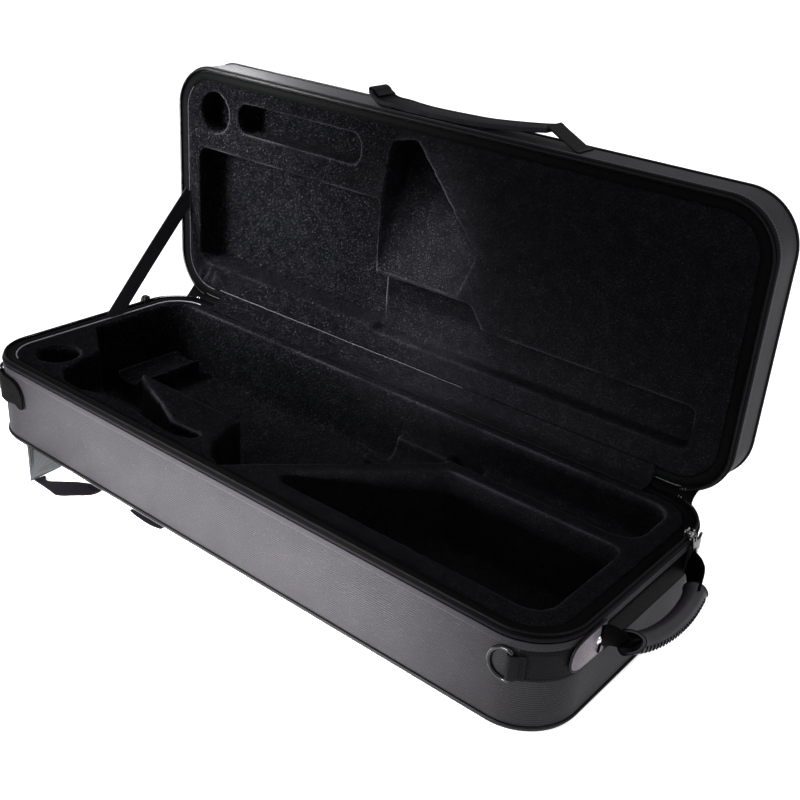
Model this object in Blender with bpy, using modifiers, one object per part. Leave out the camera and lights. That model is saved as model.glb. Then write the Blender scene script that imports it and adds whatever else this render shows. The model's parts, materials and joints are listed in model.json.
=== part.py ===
"""Tenor saxophone case, standing open, in metres.

The frame's origin is the middle of the underside of the base. X runs along the case, with the
padded end grip at +X, Y runs to the hinge at the back, and Z is up. Pieces of the lid are drawn
shut, over the base, and then swing open with the pivot that carries them.
"""

from math import acos, atan2, cos, degrees, hypot, pi, radians, sin, tan

import bmesh
import bpy
from mathutils import Matrix, Vector

# Overall case
CASE_LENGTH = 0.860
CASE_WIDTH = 0.327
BASE_DEPTH = 0.107
LID_DEPTH = 0.056
ZIP_GAP = 0.012
CORNER_RADIUS = 0.060
OPEN_ANGLE = radians(90)
OVERRUN = 0.010
CLEARANCE = 0.0003
ARC_STEPS = 8
FINE_STEPS = 16

# Wall layers, from the outside in
COVER = 0.0015
SHELL = 0.008
COVER_FILLET = 0.003
SHELL_FILLET = 0.004
PIPING_RADIUS = 0.002
PIPING_OUTSET = 0.0005
PIPING_HEIGHT = 0.006
FLOOR_PAD = 0.004
PLUSH_RISE = 0.0015

# Rim of both halves
RIM_BAND_INSET = 0.0052
RIM_BAND_WIDTH = 0.0128
RIM_BAND = 0.002
TAPE_INSET = 0.001
TAPE = 0.0014
TAPE_HEIGHT = 0.0025
CHAIN_INSET = 0.0004
CHAIN = 0.0026
CHAIN_HEIGHT = 0.0022
ZIP_END_ANGLE = radians(45)

# Foam blocks in the base, as shares of half the inner length and width
LEDGE_SHARE = 0.854
LEFT_WALL_SHARE = -0.953
LEFT_SPLIT_SHARE = -0.086
CRADLE_SPLIT_SHARE = 0.376
TRAY_SPLIT_SHARE = 0.236
DIVIDER_FOOT_SHARE = -0.0464
CAVITY_CORNER_RADIUS = 0.030
TRAY_OPENING_SHARES = ((0.0905, -0.789), (0.931, -0.789), (0.931, 0.1695), (0.4168, 0.1695))
TRAY_FRONT_LEFT_RADIUS = 0.012
TRAY_FRONT_RIGHT_RADIUS = 0.022
TRAY_BACK_RIGHT_RADIUS = 0.012
TRAY_BACK_LEFT_RADIUS = 0.008
CHANNEL_END_SHARE = 0.936
CHANNEL_FRONT_SHARE = 0.3064
CHANNEL_RADIUS = 0.025
CHANNEL_LEDGE_HEIGHT = 0.058
GROOVE_RADIUS = 0.026
GROOVE_END_SHARE = 0.905
BELL_CURVE_SHARES = (
    (-0.026, -0.9355),
    (-0.0714, -0.8996),
    (-0.119, -0.769),
    (-0.138, -0.619),
    (-0.157, -0.495),
    (-0.157, -0.378),
)
MOUND_SHARES = ((-0.56, -0.378), (-0.786, -0.378), (-0.8216, -0.326), (-0.9526, -0.0867))
NECK_BAY_SHARES = (
    (-0.81, -0.25),
    (-0.786, -0.489),
    (-0.757, -0.815),
    (-0.707, -0.9),
    (-0.624, -0.919),
    (-0.541, -0.828),
    (-0.412, -0.834),
    (-0.295, -0.8735),
    (-0.224, -0.8735),
    (-0.1715, -0.815),
    (-0.176, -0.737),
    (-0.293, -0.756),
    (-0.4, -0.619),
    (-0.464, -0.554),
    (-0.569, -0.43),
    (-0.6, -0.25),
)
NECK_BAY_RADIUS = 0.008
NECK_BAY_HEIGHT = 0.055
MOUTHPIECE_SHARE = (-0.8645, -0.652)
MOUTHPIECE_RADIUS = 0.027
MOUTHPIECE_HEIGHT = 0.048
TUBE_REST_SHARES = (0.071, 0.262)
TUBE_REST_HEIGHT = 0.060
BOW_REST_SHARES = (-0.917, -0.798)
BOW_REST_FRONT_SHARE = 0.0326
BOW_REST_BACK_SHARE = 0.75
BOW_REST_HEIGHT = 0.045
BOW_GROOVE_RADIUS = 0.040
BOW_GROOVE_DEPTH = 0.010
REST_CORNER_RADIUS = 0.006

# Moulded plush in the lid, as shares of half the inner length and width
LID_SPLIT_SHARE = -0.1572
BODY_RECESS_SHARES = (-0.936, -0.355, 0.714)
BODY_RECESS_RADIUS = 0.014
LID_MOUTHPIECE_SHARE = (-0.8597, -0.6975)
LID_POCKET_DEPTH = 0.034
NECK_SLOT_SHARES = (-0.750, -0.238, -0.838, -0.583)
NECK_SLOT_RADIUS = 0.016
LONG_RECESS_SHARES = ((0.905, 0.756), (0.905, 0.427), (0.2453, 0.427), (0.2, 0.251))
LONG_RECESS_RADIUS = 0.008
LONG_RECESS_DEPTH = 0.024
BELL_POCKET_SHARES = (
    (-0.1476, 0.2216),
    (-0.1476, -0.375),
    (-0.119, -0.851),
    (-0.0333, -0.906),
    (0.2, -0.153),
    (0.145, 0.2216),
)
BELL_POCKET_RADIUS = 0.010
BELL_RAMP_FAR_SHARE = -0.3716
BELL_RAMP_LIP = 0.0015
BELL_RAMP_TOE = 0.003

# Hinge fabrics and the stay
GUSSET = 0.0012
GUSSET_SHARE = 0.865
GUSSET_ON_BASE = 0.023
GUSSET_ON_LID = 0.0225
LINING = 0.0016
LINING_SHARE = 0.814
LINING_ON_BASE = 0.021
LINING_ON_LID = 0.0185
STAY_WIDTH = 0.025
STAY = 0.0016
STAY_SHARE = 0.0948
STAY_TAB = 0.006
STAY_TAB_THICKNESS = 0.002
STAY_BASE_INSET = 0.010
STAY_LID_INSET = 0.0145

# Webbing band and fittings on the right end
WEBBING = 0.002
WEBBING_WIDTH = 0.030
WEBBING_BELOW_RIM = 0.032
BAND_END_ANGLE = radians(40)
PATCH = 0.0025
PATCH_BELOW_RIM = 0.021
PATCH_TALL = 0.036
PATCH_RADIUS = 0.009
FRONT_PATCH_ON_FLAT = 0.0335
FRONT_PATCH_ON_CORNER = 0.0235
BACK_PATCH_ON_FLAT = 0.0165
BACK_PATCH_ON_CORNER = 0.0305
GRIP_CENTRE = 0.0095
GRIP_BELOW_RIM = 0.022
GRIP_END_INSET = 0.022
GRIP_REACH = 0.031
GRIP_TILT = radians(32)
GRIP_PAD_RADIUS = 0.0105
GRIP_PAD_START = radians(24)
GRIP_STRAP_WIDTH = 0.016
GRIP_STRAP = 0.0025
GRIP_STRAP_TAPER_SHARES = (0.4, 0.75)
BARREL_RADIUS = 0.003
BARREL_LENGTH = 0.014
LOOP_WALL = 0.002
LOOP_LENGTH = 0.010
LOOP_OFFSET = 0.0068
RIVET_RADIUS = 0.0045
RIVET = 0.0016
RIVET_OFFSET = 0.0115
RIVET_BELOW_RIM = 0.020

# Rings for a shoulder strap
RING_WIRE = 0.002
RING_TALL = 0.038
RING_DEEP = 0.024
RING_CORNER = 0.003
RING_LOOP = 0.0015
RING_LOOP_TALL = 0.026
RING_TAIL = 0.012
RIGHT_RING_ANGLE = radians(-72.5)
LEFT_RING_ANGLE = radians(-126)
LEFT_RING_LEAN = radians(10)
LEFT_PATCH_ANGLES = (radians(-120.5), radians(-92))
LEFT_PATCH_TALL = 0.046

# Zip sliders and their pulls
SLIDER_BACK = 0.0085
SLIDER_LENGTH = 0.010
SLIDER_OUTER = 0.0023
SLIDER_INNER = 0.0015
SLIDER_LOW = 0.0006
SLIDER_TALL = 0.0108
SLIDER_NECK_LENGTH = 0.005
SLIDER_NECK = 0.0008
BRIDGE_WIRE = 0.0008
BRIDGE_REACH = 0.0047
BRIDGE_TALL = 0.0084
PULL_REACH = 0.0024
PULL_WIDTH = 0.008
PULL_LENGTH = 0.0208
PULL = 0.0016
PULL_BAR = 0.0008
PULL_SLOT_WIDTH = 0.003
PULL_SLOT = 0.006
PULL_TILT = radians(12)
PULL_RADIUS = 0.002

# Carry handle on the front wall of the lid
CARRY_WIDTH = 0.038
CARRY_EDGE = 0.0085
CARRY = 0.0055
CARRY_PATH = (
    (-0.1040, 0.0160),
    (-0.0975, 0.0105),
    (-0.0900, 0.0070),
    (-0.0780, 0.0056),
    (-0.0640, 0.0055),
    (-0.0450, 0.0042),
    (-0.0180, 0.0036),
    (0.0360, 0.0049),
    (0.0600, 0.0061),
    (0.0900, 0.0090),
    (0.1250, 0.0132),
    (0.1510, 0.0173),
)
CARRY_WEB = 0.002
CARRY_WEB_WIDTH = 0.030
CARRY_FOOT_LEFT = (-0.0900, -0.0660)
CARRY_FOOT_RIGHT = (0.1880, 0.1980)
WEB_LEFT_PATH = ((-0.1068, 0.0124), (-0.1005, 0.0068), (-0.0950, 0.0034), (-0.0905, 0.0014))
WEB_RIGHT_PATH = ((0.1526, 0.0174), (0.1620, 0.0142), (0.1760, 0.0078), (0.1876, 0.0018))

# Ends of the shoulder straps, flat on the floor
TAB = 0.0025
TAB_SHARES = ((-0.8186, 0), (-0.6465, 0), (-0.6395, 1))
TAB_REACH = 0.046
STRAP = 0.002
STRAP_OUTER_SHARES = (
    (-0.6365, 0.906),
    (-0.5665, 0.935),
    (-0.5384, 0.974),
    (-0.5256, 0.946),
    (-0.4953, 0.674),
    (-0.4628, 0.306),
    (-0.46, 0),
)
STRAP_INNER_SHARES = ((-0.507, 0), (-0.5477, 0.433), (-0.598, 0.745), (-0.6335, 0.57))
STRAP_BEND_SHARES = (
    (-0.3242, 0),
    (-0.3242, 0.087),
    (-0.276, 0.143),
    (-0.234, 0.156),
    (-0.2021, 0.102),
    (-0.195, 0),
)

# Colours
RIBBED_NYLON = (0.105, 0.105, 0.115, 1)
BLACK_NYLON = (0.012, 0.012, 0.014, 1)
BLACK_PLUSH = (0.008, 0.008, 0.012, 1)
BOARD = (0.045, 0.045, 0.05, 1)
VINYL = (0.04, 0.035, 0.045, 1)
NICKEL = (0.62, 0.62, 0.64, 1)
BLACK_METAL = (0.02, 0.02, 0.022, 1)
STRAP_GREY = (0.16, 0.17, 0.18, 1)

# Sizes worked out from those above
HALF_LENGTH = CASE_LENGTH / 2
HALF_WIDTH = CASE_WIDTH / 2
SHELL_INSET = COVER + CLEARANCE
INSERT_INSET = SHELL_INSET + SHELL + CLEARANCE
INNER_LENGTH = HALF_LENGTH - INSERT_INSET
INNER_WIDTH = HALF_WIDTH - INSERT_INSET
INNER_RADIUS = CORNER_RADIUS - INSERT_INSET
SHELL_FLOOR = SHELL_INSET + SHELL
PAD_TOP = SHELL_FLOOR + CLEARANCE + FLOOR_PAD
BLOCK_LOW = PAD_TOP + CLEARANCE
BLOCK_TOP = BASE_DEPTH + PLUSH_RISE
RIM_LOW = BASE_DEPTH + CLEARANCE
REBATE_INSET = RIM_BAND_INSET + RIM_BAND_WIDTH + CLEARANCE
TAPE_TOP = RIM_LOW + TAPE_HEIGHT
CHAIN_LOW = TAPE_TOP + CLEARANCE
LID_EDGE = BASE_DEPTH + ZIP_GAP
LID_TOP = LID_EDGE + LID_DEPTH
LID_RIM = LID_EDGE - CLEARANCE
LID_TAPE_LOW = LID_RIM - TAPE_HEIGHT
LID_CHAIN_TOP = LID_TAPE_LOW - CLEARANCE
LID_FACE = LID_EDGE - PLUSH_RISE
LID_SHELL_FLOOR = LID_TOP - SHELL_FLOOR
LID_PAD_LOW = LID_SHELL_FLOOR - CLEARANCE - FLOOR_PAD
LID_BLOCK_TOP = LID_PAD_LOW - CLEARANCE
SKIRT = PIPING_HEIGHT - PIPING_RADIUS - CLEARANCE
WALL_LOW = PIPING_HEIGHT + PIPING_RADIUS + CLEARANCE
HINGE = Vector((0, HALF_WIDTH, BASE_DEPTH + ZIP_GAP / 2))
FLAT_HALF = HALF_WIDTH - CORNER_RADIUS
CORNER_X = HALF_LENGTH - CORNER_RADIUS
WEBBING_HEIGHT = BASE_DEPTH - WEBBING_BELOW_RIM
PATCH_HEIGHT = BASE_DEPTH - PATCH_BELOW_RIM
GRIP_AXIS_HEIGHT = BASE_DEPTH - GRIP_BELOW_RIM
RIVET_HEIGHT = BASE_DEPTH - RIVET_BELOW_RIM
GRIP_HALF_SPAN = FLAT_HALF - GRIP_END_INSET
FRONT_PATCH_SPAN = (FLAT_HALF - FRONT_PATCH_ON_FLAT, FLAT_HALF + FRONT_PATCH_ON_CORNER)
BACK_PATCH_SPAN = (-FLAT_HALF - BACK_PATCH_ON_CORNER, BACK_PATCH_ON_FLAT - FLAT_HALF)
SLIDER_START = FLAT_HALF - SLIDER_BACK
CORNER_ARC = CORNER_RADIUS * pi / 2
PATCH_OUT = CLEARANCE + WEBBING + CLEARANCE
GRIP_OUT = PATCH_OUT + PATCH + CLEARANCE + BARREL_RADIUS + CLEARANCE
RING_OUT = CLEARANCE + RING_LOOP + CLEARANCE + RING_WIRE
LOOP_RADIUS = RING_WIRE + CLEARANCE + RING_LOOP

COLLECTION = "tenor_saxophone_case"
CUTTERS = "cutters"


def clear_scene():
    """Removes what the scene holds and makes the two collections."""
    for obj in list(bpy.data.objects):
        bpy.data.objects.remove(obj, do_unlink=True)
    for name in (COLLECTION, CUTTERS):
        collection = bpy.data.collections.get(name) or bpy.data.collections.new(name)
        if name not in bpy.context.scene.collection.children:
            bpy.context.scene.collection.children.link(collection)


def material(name, colour, roughness, metallic=0.0):
    """A Principled material of one colour."""
    found = bpy.data.materials.get(name) or bpy.data.materials.new(name)
    found.use_nodes = True
    shader = found.node_tree.nodes["Principled BSDF"]
    shader.inputs["Base Color"].default_value = colour
    shader.inputs["Roughness"].default_value = roughness
    shader.inputs["Metallic"].default_value = metallic
    found.diffuse_color = colour
    return found


def add_object(name, mesh, finish=None):
    """Links a mesh as a part, or as a hidden cutter where it has no finish."""
    obj = bpy.data.objects.new(name, mesh)
    if finish is None:
        bpy.data.collections[CUTTERS].objects.link(obj)
        obj.hide_render = True
        obj.display_type = "WIRE"
    else:
        bpy.data.collections[COLLECTION].objects.link(obj)
        mesh.materials.append(finish)
    return obj


def mesh_from(bm, name, smooth=False):
    """Turns a bmesh into a mesh with its faces pointing out."""
    bmesh.ops.recalc_face_normals(bm, faces=bm.faces)
    mesh = bpy.data.meshes.new(name)
    bm.to_mesh(mesh)
    bm.free()
    if smooth:
        mesh.shade_smooth()
    return mesh


def arc(centre, radius, start, end, steps=ARC_STEPS):
    """Points of an arc, both ends included."""
    turn = (end - start) / steps
    angles = [start + turn * k for k in range(steps + 1)]
    return [(centre[0] + radius * cos(a), centre[1] + radius * sin(a)) for a in angles]


def case_outline(inset):
    """The case's plan, the given distance inside its outer face, anticlockwise from the back right."""
    radius = CORNER_RADIUS - inset
    points = []
    for number, (sx, sy) in enumerate(((1, 1), (-1, 1), (-1, -1), (1, -1))):
        start = number * pi / 2
        points += arc((sx * CORNER_X, sy * FLAT_HALF), radius, start, start + pi / 2)
    return points


def rim_path(inset):
    """From the back right corner round the front to the back left corner, where the zip ends."""
    radius = CORNER_RADIUS - inset
    half = ARC_STEPS // 2
    points = arc((CORNER_X, FLAT_HALF), radius, ZIP_END_ANGLE, 0, half)
    points += arc((CORNER_X, -FLAT_HALF), radius, 0, -pi / 2)
    points += arc((-CORNER_X, -FLAT_HALF), radius, -pi / 2, -pi)
    points += arc((-CORNER_X, FLAT_HALF), radius, -pi, -pi - ZIP_END_ANGLE, half)
    return points


def rim_strip(inset, width):
    """Outline of a strip that follows the zip, its outer edge at the given inset."""
    return rim_path(inset) + rim_path(inset + width)[::-1]


def rounded_polygon(points, radii, steps=4):
    """A polygon with each corner rounded by its own radius, or left sharp where that is zero."""
    if not hasattr(radii, "__len__"):
        radii = [radii] * len(points)
    outline = []
    for index, (corner, radius) in enumerate(zip(points, radii)):
        here = Vector(corner)
        back = Vector(points[index - 1]) - here
        ahead = Vector(points[(index + 1) % len(points)]) - here
        if radius == 0:
            outline.append(tuple(here))
            continue
        opening = acos(max(-1.0, min(1.0, back.normalized().dot(ahead.normalized()))))
        reach = min(radius / tan(opening / 2), back.length / 2, ahead.length / 2)
        fitted = reach * tan(opening / 2)
        bisector = (back.normalized() + ahead.normalized()).normalized()
        centre = here + bisector * (fitted / sin(opening / 2))
        first = here + back.normalized() * reach - centre
        last = here + ahead.normalized() * reach - centre
        start = atan2(first.y, first.x)
        sweep = (atan2(last.y, last.x) - start + pi) % (2 * pi) - pi
        outline += arc(centre, fitted, start, start + sweep, steps)
    return outline


def plan(shares):
    """A place in the foam from its shares of half the inner length and width."""
    return (shares[0] * INNER_LENGTH, shares[1] * INNER_WIDTH)


def box_outline(x_low, x_high, y_low, y_high):
    """Corners of a rectangle, anticlockwise."""
    return [(x_low, y_low), (x_high, y_low), (x_high, y_high), (x_low, y_high)]


def round_outline(centre, radius, steps=FINE_STEPS):
    """A full circle of points."""
    return arc(centre, radius, 0, 2 * pi, 2 * steps)[:-1]


def prism_bmesh(outline, low, high, fillet=0.0, fillet_top=False):
    """An outline raised from low to high, with its lower or upper edge rounded."""
    bm = bmesh.new()
    points = [bm.verts.new((x, y, low)) for x, y in outline]
    ring = [bm.edges.new((points[k - 1], points[k])) for k in range(len(points))]
    face = bmesh.ops.contextual_create(bm, geom=ring)["faces"][0]
    raised = bmesh.ops.extrude_face_region(bm, geom=[face])["geom"]
    top = [item for item in raised if isinstance(item, bmesh.types.BMVert)]
    bmesh.ops.translate(bm, verts=top, vec=(0, 0, high - low))
    if fillet:
        level = high if fillet_top else low
        edges = [e for e in bm.edges if all(abs(v.co.z - level) < CLEARANCE / 2 for v in e.verts)]
        bmesh.ops.bevel(bm, geom=edges, offset=fillet, segments=3, profile=0.5, affect="EDGES")
    return bm


def prism(name, outline, low, high, finish=None, fillet=0.0, fillet_top=False):
    """A part or cutter raised from one outline."""
    bm = prism_bmesh(outline, low, high, fillet, fillet_top)
    return add_object(name, mesh_from(bm, name), finish)


def as_mesh(curve_object, finish=None):
    """Turns a curve into a mesh whose caps are welded to its sides."""
    depsgraph = bpy.context.evaluated_depsgraph_get()
    name = curve_object.name
    mesh = bpy.data.meshes.new_from_object(curve_object.evaluated_get(depsgraph))
    bm = bmesh.new()
    bm.from_mesh(mesh)
    bmesh.ops.remove_doubles(bm, verts=bm.verts, dist=CLEARANCE / 10)
    bmesh.ops.recalc_face_normals(bm, faces=bm.faces)
    bm.to_mesh(mesh)
    bm.free()
    placed = curve_object.matrix_world.copy()
    bpy.data.objects.remove(curve_object, do_unlink=True)
    obj = add_object(name, mesh, finish)
    obj.matrix_world = placed
    return obj


def plate(name, outlines, low, high, finish):
    """A flat piece from an outer outline and the outlines of its holes."""
    curve = bpy.data.curves.new(name, "CURVE")
    curve.dimensions = "2D"
    curve.fill_mode = "BOTH"
    curve.extrude = (high - low) / 2
    for outline in outlines:
        spline = curve.splines.new("POLY")
        spline.points.add(len(outline) - 1)
        for point, (x, y) in zip(spline.points, outline):
            point.co = (x, y, 0, 1)
        spline.use_cyclic_u = True
    obj = bpy.data.objects.new(name, curve)
    bpy.data.collections[COLLECTION].objects.link(obj)
    obj.location.z = (low + high) / 2
    bpy.context.view_layer.update()
    return as_mesh(obj, finish)


def wire(name, points, radius, finish, cyclic=False, resolution=1):
    """A round wire or cord along a path."""
    curve = bpy.data.curves.new(name, "CURVE")
    curve.dimensions = "3D"
    curve.bevel_depth = radius
    curve.bevel_resolution = resolution
    curve.use_fill_caps = True
    spline = curve.splines.new("POLY")
    spline.points.add(len(points) - 1)
    for point, place in zip(spline.points, points):
        point.co = (*place, 1)
    spline.use_cyclic_u = cyclic
    obj = bpy.data.objects.new(name, curve)
    bpy.data.collections[COLLECTION].objects.link(obj)
    bpy.context.view_layer.update()
    return as_mesh(obj, finish)


def boolean(obj, other, operation):
    """Cuts or joins with another object."""
    modifier = obj.modifiers.new(operation.title(), "BOOLEAN")
    modifier.operation = operation
    modifier.solver = "EXACT"
    modifier.object = other


def cut(obj, cutter):
    """Takes a hidden cutter out of a piece."""
    boolean(obj, cutter, "DIFFERENCE")


def join(obj, other):
    """Adds a hidden shape to a piece."""
    boolean(obj, other, "UNION")


def cylinder(name, centre, axis, radius, length, finish=None, steps=FINE_STEPS):
    """A cylinder about a centre, along an axis."""
    bm = bmesh.new()
    bmesh.ops.create_cone(
        bm, cap_ends=True, segments=steps, radius1=radius, radius2=radius, depth=length
    )
    obj = add_object(name, mesh_from(bm, name, smooth=True), finish)
    obj.data.transform(Vector(axis).to_track_quat("Z", "Y").to_matrix().to_4x4())
    obj.location = centre
    return obj


def block(name, low, high, finish=None):
    """A box between two corners."""
    bm = bmesh.new()
    bmesh.ops.create_cube(bm, size=1)
    size = Vector(high) - Vector(low)
    bmesh.ops.scale(bm, vec=size, verts=bm.verts)
    bmesh.ops.translate(bm, vec=Vector(low) + size / 2, verts=bm.verts)
    return add_object(name, mesh_from(bm, name), finish)


def ribbon(name, path, thickness, low, high, finish=None):
    """A strip whose section follows a path in one plane, raised from low to high.

    The path is the strip's middle line, and thickness is measured square to it.
    """
    sides = ([], [])
    for index, point in enumerate(path):
        here = Vector(point)
        back = (here - Vector(path[index - 1])) if index else (Vector(path[1]) - here)
        ahead = (Vector(path[index + 1]) - here) if index + 1 < len(path) else back
        along = (back.normalized() + ahead.normalized()).normalized()
        stretch = 1 / max(along.dot(ahead.normalized()), 0.5)
        across = Vector((-along.y, along.x)) * (thickness / 2 * stretch)
        sides[0].append(tuple(here + across))
        sides[1].append(tuple(here - across))
    return prism(name, sides[0] + sides[1][::-1], low, high, finish)


def turn_mesh(obj, matrix):
    """Moves an object's mesh itself, so that its origin stays put, and keeps its faces outward."""
    obj.data.transform(matrix)
    if matrix.determinant() < 0:
        obj.data.flip_normals()
    return obj


def pivot(name, place, rotation=None, parent=None):
    """An empty on a joint's axis."""
    empty = bpy.data.objects.new(name, None)
    bpy.data.collections[COLLECTION].objects.link(empty)
    empty.location = place
    if rotation is not None:
        empty.rotation_euler = rotation
    if parent is not None:
        empty.parent = parent
    return empty


def hang(obj, empty, place):
    """Parents a piece drawn at its own place to an empty that stands at the given place."""
    obj.data.transform(obj.matrix_basis)
    obj.matrix_basis = Matrix()
    obj.data.transform(Matrix.Translation(-Vector(place)))
    obj.parent = empty
    return obj


def around(along, out):
    """A place on the wall from its distance along the rim, clockwise from the right end's middle."""
    side = 1 if along < 0 else -1
    distance = abs(along)
    if distance <= FLAT_HALF:
        return (HALF_LENGTH + out, side * distance)
    if distance <= FLAT_HALF + CORNER_ARC:
        angle = (distance - FLAT_HALF) / CORNER_RADIUS
        reach = CORNER_RADIUS + out
        return (CORNER_X + reach * cos(angle), side * (FLAT_HALF + reach * sin(angle)))
    return (CORNER_X - (distance - FLAT_HALF - CORNER_ARC), side * (HALF_WIDTH + out))


def stops(start, end):
    """Distances along the rim between two ends, with a stop at each step of a corner."""
    step = CORNER_ARC / ARC_STEPS
    marks = [FLAT_HALF + step * k for k in range(ARC_STEPS + 1)]
    marks += [-mark for mark in marks]
    inner = sorted(mark for mark in marks if start + CLEARANCE < mark < end - CLEARANCE)
    return [start, *inner, end]


def wall_strip(start, end, out_low, out_high):
    """Outline of a strip that lies along the wall."""
    marks = stops(start, end)
    return [around(m, out_high) for m in marks] + [around(m, out_low) for m in reversed(marks)]


def wrap(name, outline, out_low, out_high, finish, mapping, marks):
    """A flat piece drawn as (along, height) and laid round the wall."""
    bm = prism_bmesh(outline, out_low, out_high)
    for mark in marks:
        geometry = [*bm.verts, *bm.edges, *bm.faces]
        bmesh.ops.bisect_plane(bm, geom=geometry, plane_co=(mark, 0, 0), plane_no=(1, 0, 0))
    for vert in bm.verts:
        x, y = mapping(vert.co.x, vert.co.z)
        vert.co = (x, y, vert.co.y)
    return add_object(name, mesh_from(bm, name), finish)


def rim_rebate(name, low, high):
    """A cutter that makes room for the rim band round the edge of the foam."""
    ring = plate(name, [case_outline(0), case_outline(REBATE_INSET)], low, high, None)
    return ring


def base_shell_set(nylon, board, piping, plush):
    """The base's covers, piping, shell, rim and floor."""
    bottom = prism(
        "base_bottom_cover", case_outline(0), 0, SKIRT, nylon, fillet=COVER_FILLET
    )
    cut(bottom, prism("bottom_hollow", case_outline(COVER), COVER, SKIRT + OVERRUN))
    cord = case_outline(-PIPING_OUTSET)
    wire("base_piping", [(x, y, PIPING_HEIGHT) for x, y in cord], PIPING_RADIUS, piping, True)
    plate(
        "base_wall_cover", [case_outline(0), case_outline(COVER)], WALL_LOW, BASE_DEPTH, nylon
    )
    shell = prism(
        "base_shell", case_outline(SHELL_INSET), SHELL_INSET, BASE_DEPTH, board, SHELL_FILLET
    )
    hollow = case_outline(SHELL_INSET + SHELL)
    cut(shell, prism("shell_hollow", hollow, SHELL_FLOOR, BASE_DEPTH + OVERRUN))
    inner = RIM_BAND_INSET + RIM_BAND_WIDTH
    band = [case_outline(RIM_BAND_INSET), case_outline(inner)]
    plate("base_rim_band", band, RIM_LOW, RIM_LOW + RIM_BAND, piping)
    prism("base_zip_tape", rim_strip(TAPE_INSET, TAPE), RIM_LOW, TAPE_TOP, piping)
    chain_top = CHAIN_LOW + CHAIN_HEIGHT
    prism("base_zip_chain", rim_strip(CHAIN_INSET, CHAIN), CHAIN_LOW, chain_top, piping)
    prism("base_floor_pad", case_outline(INSERT_INSET), SHELL_FLOOR + CLEARANCE, PAD_TOP, plush)


def accessory_tray(plush, rebate):
    """The frame right of the bell, with the diagonal divider and one through opening."""
    split = TRAY_SPLIT_SHARE * INNER_WIDTH
    outer = [
        (DIVIDER_FOOT_SHARE * INNER_LENGTH, -INNER_WIDTH),
        (INNER_LENGTH, -INNER_WIDTH),
        (INNER_LENGTH, split),
        (CRADLE_SPLIT_SHARE * INNER_LENGTH - CLEARANCE, split),
    ]
    outline = rounded_polygon(outer, [0, INNER_RADIUS, 0, 0], ARC_STEPS)
    radii = [
        TRAY_FRONT_LEFT_RADIUS,
        TRAY_FRONT_RIGHT_RADIUS,
        TRAY_BACK_RIGHT_RADIUS,
        TRAY_BACK_LEFT_RADIUS,
    ]
    opening = rounded_polygon([plan(s) for s in TRAY_OPENING_SHARES], radii)
    tray = plate("accessory_tray", [outline, opening], BLOCK_LOW, BLOCK_TOP, plush)
    cut(tray, rebate)


def tube_cradle(plush, rebate):
    """The block at the back right, with the channel that holds the body tube."""
    left = CRADLE_SPLIT_SHARE * INNER_LENGTH
    front = TRAY_SPLIT_SHARE * INNER_WIDTH + CLEARANCE
    outer = [(left, front), (INNER_LENGTH, front), (INNER_LENGTH, INNER_WIDTH), (left, INNER_WIDTH)]
    outline = rounded_polygon(outer, [0, 0, INNER_RADIUS, 0], ARC_STEPS)
    cradle = prism("tube_cradle", outline, BLOCK_LOW, BLOCK_TOP, plush)
    low = CHANNEL_FRONT_SHARE * INNER_WIDTH
    high = LEDGE_SHARE * INNER_WIDTH
    end = CHANNEL_END_SHARE * INNER_LENGTH
    channel = rounded_polygon(
        box_outline(left - OVERRUN, end, low, high), [0, CHANNEL_RADIUS, CHANNEL_RADIUS, 0]
    )
    top = BLOCK_TOP + OVERRUN
    cut(cradle, prism("channel_cutter", channel, CHANNEL_LEDGE_HEIGHT, top))
    start = left - OVERRUN
    stop = GROOVE_END_SHARE * INNER_LENGTH
    centre = ((start + stop) / 2, (low + high) / 2, CHANNEL_LEDGE_HEIGHT)
    cut(cradle, cylinder("groove_cutter", centre, (1, 0, 0), GROOVE_RADIUS, stop - start))
    cut(cradle, rebate)


def body_cradle(plush, rebate):
    """The back ledge and the left wall round the main cavity."""
    right = CRADLE_SPLIT_SHARE * INNER_LENGTH - CLEARANCE
    wall = LEFT_WALL_SHARE * INNER_LENGTH
    ledge = LEDGE_SHARE * INNER_WIDTH
    end = LEFT_SPLIT_SHARE * INNER_WIDTH
    outer = [
        (right, INNER_WIDTH),
        (-INNER_LENGTH, INNER_WIDTH),
        (-INNER_LENGTH, end),
        (wall, end),
        (wall, ledge),
        (right, ledge),
    ]
    radii = [0, INNER_RADIUS, 0, 0, CAVITY_CORNER_RADIUS, 0]
    outline = rounded_polygon(outer, radii, ARC_STEPS)
    cradle = prism("body_cradle", outline, BLOCK_LOW, BLOCK_TOP, plush)
    cut(cradle, rebate)


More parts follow.
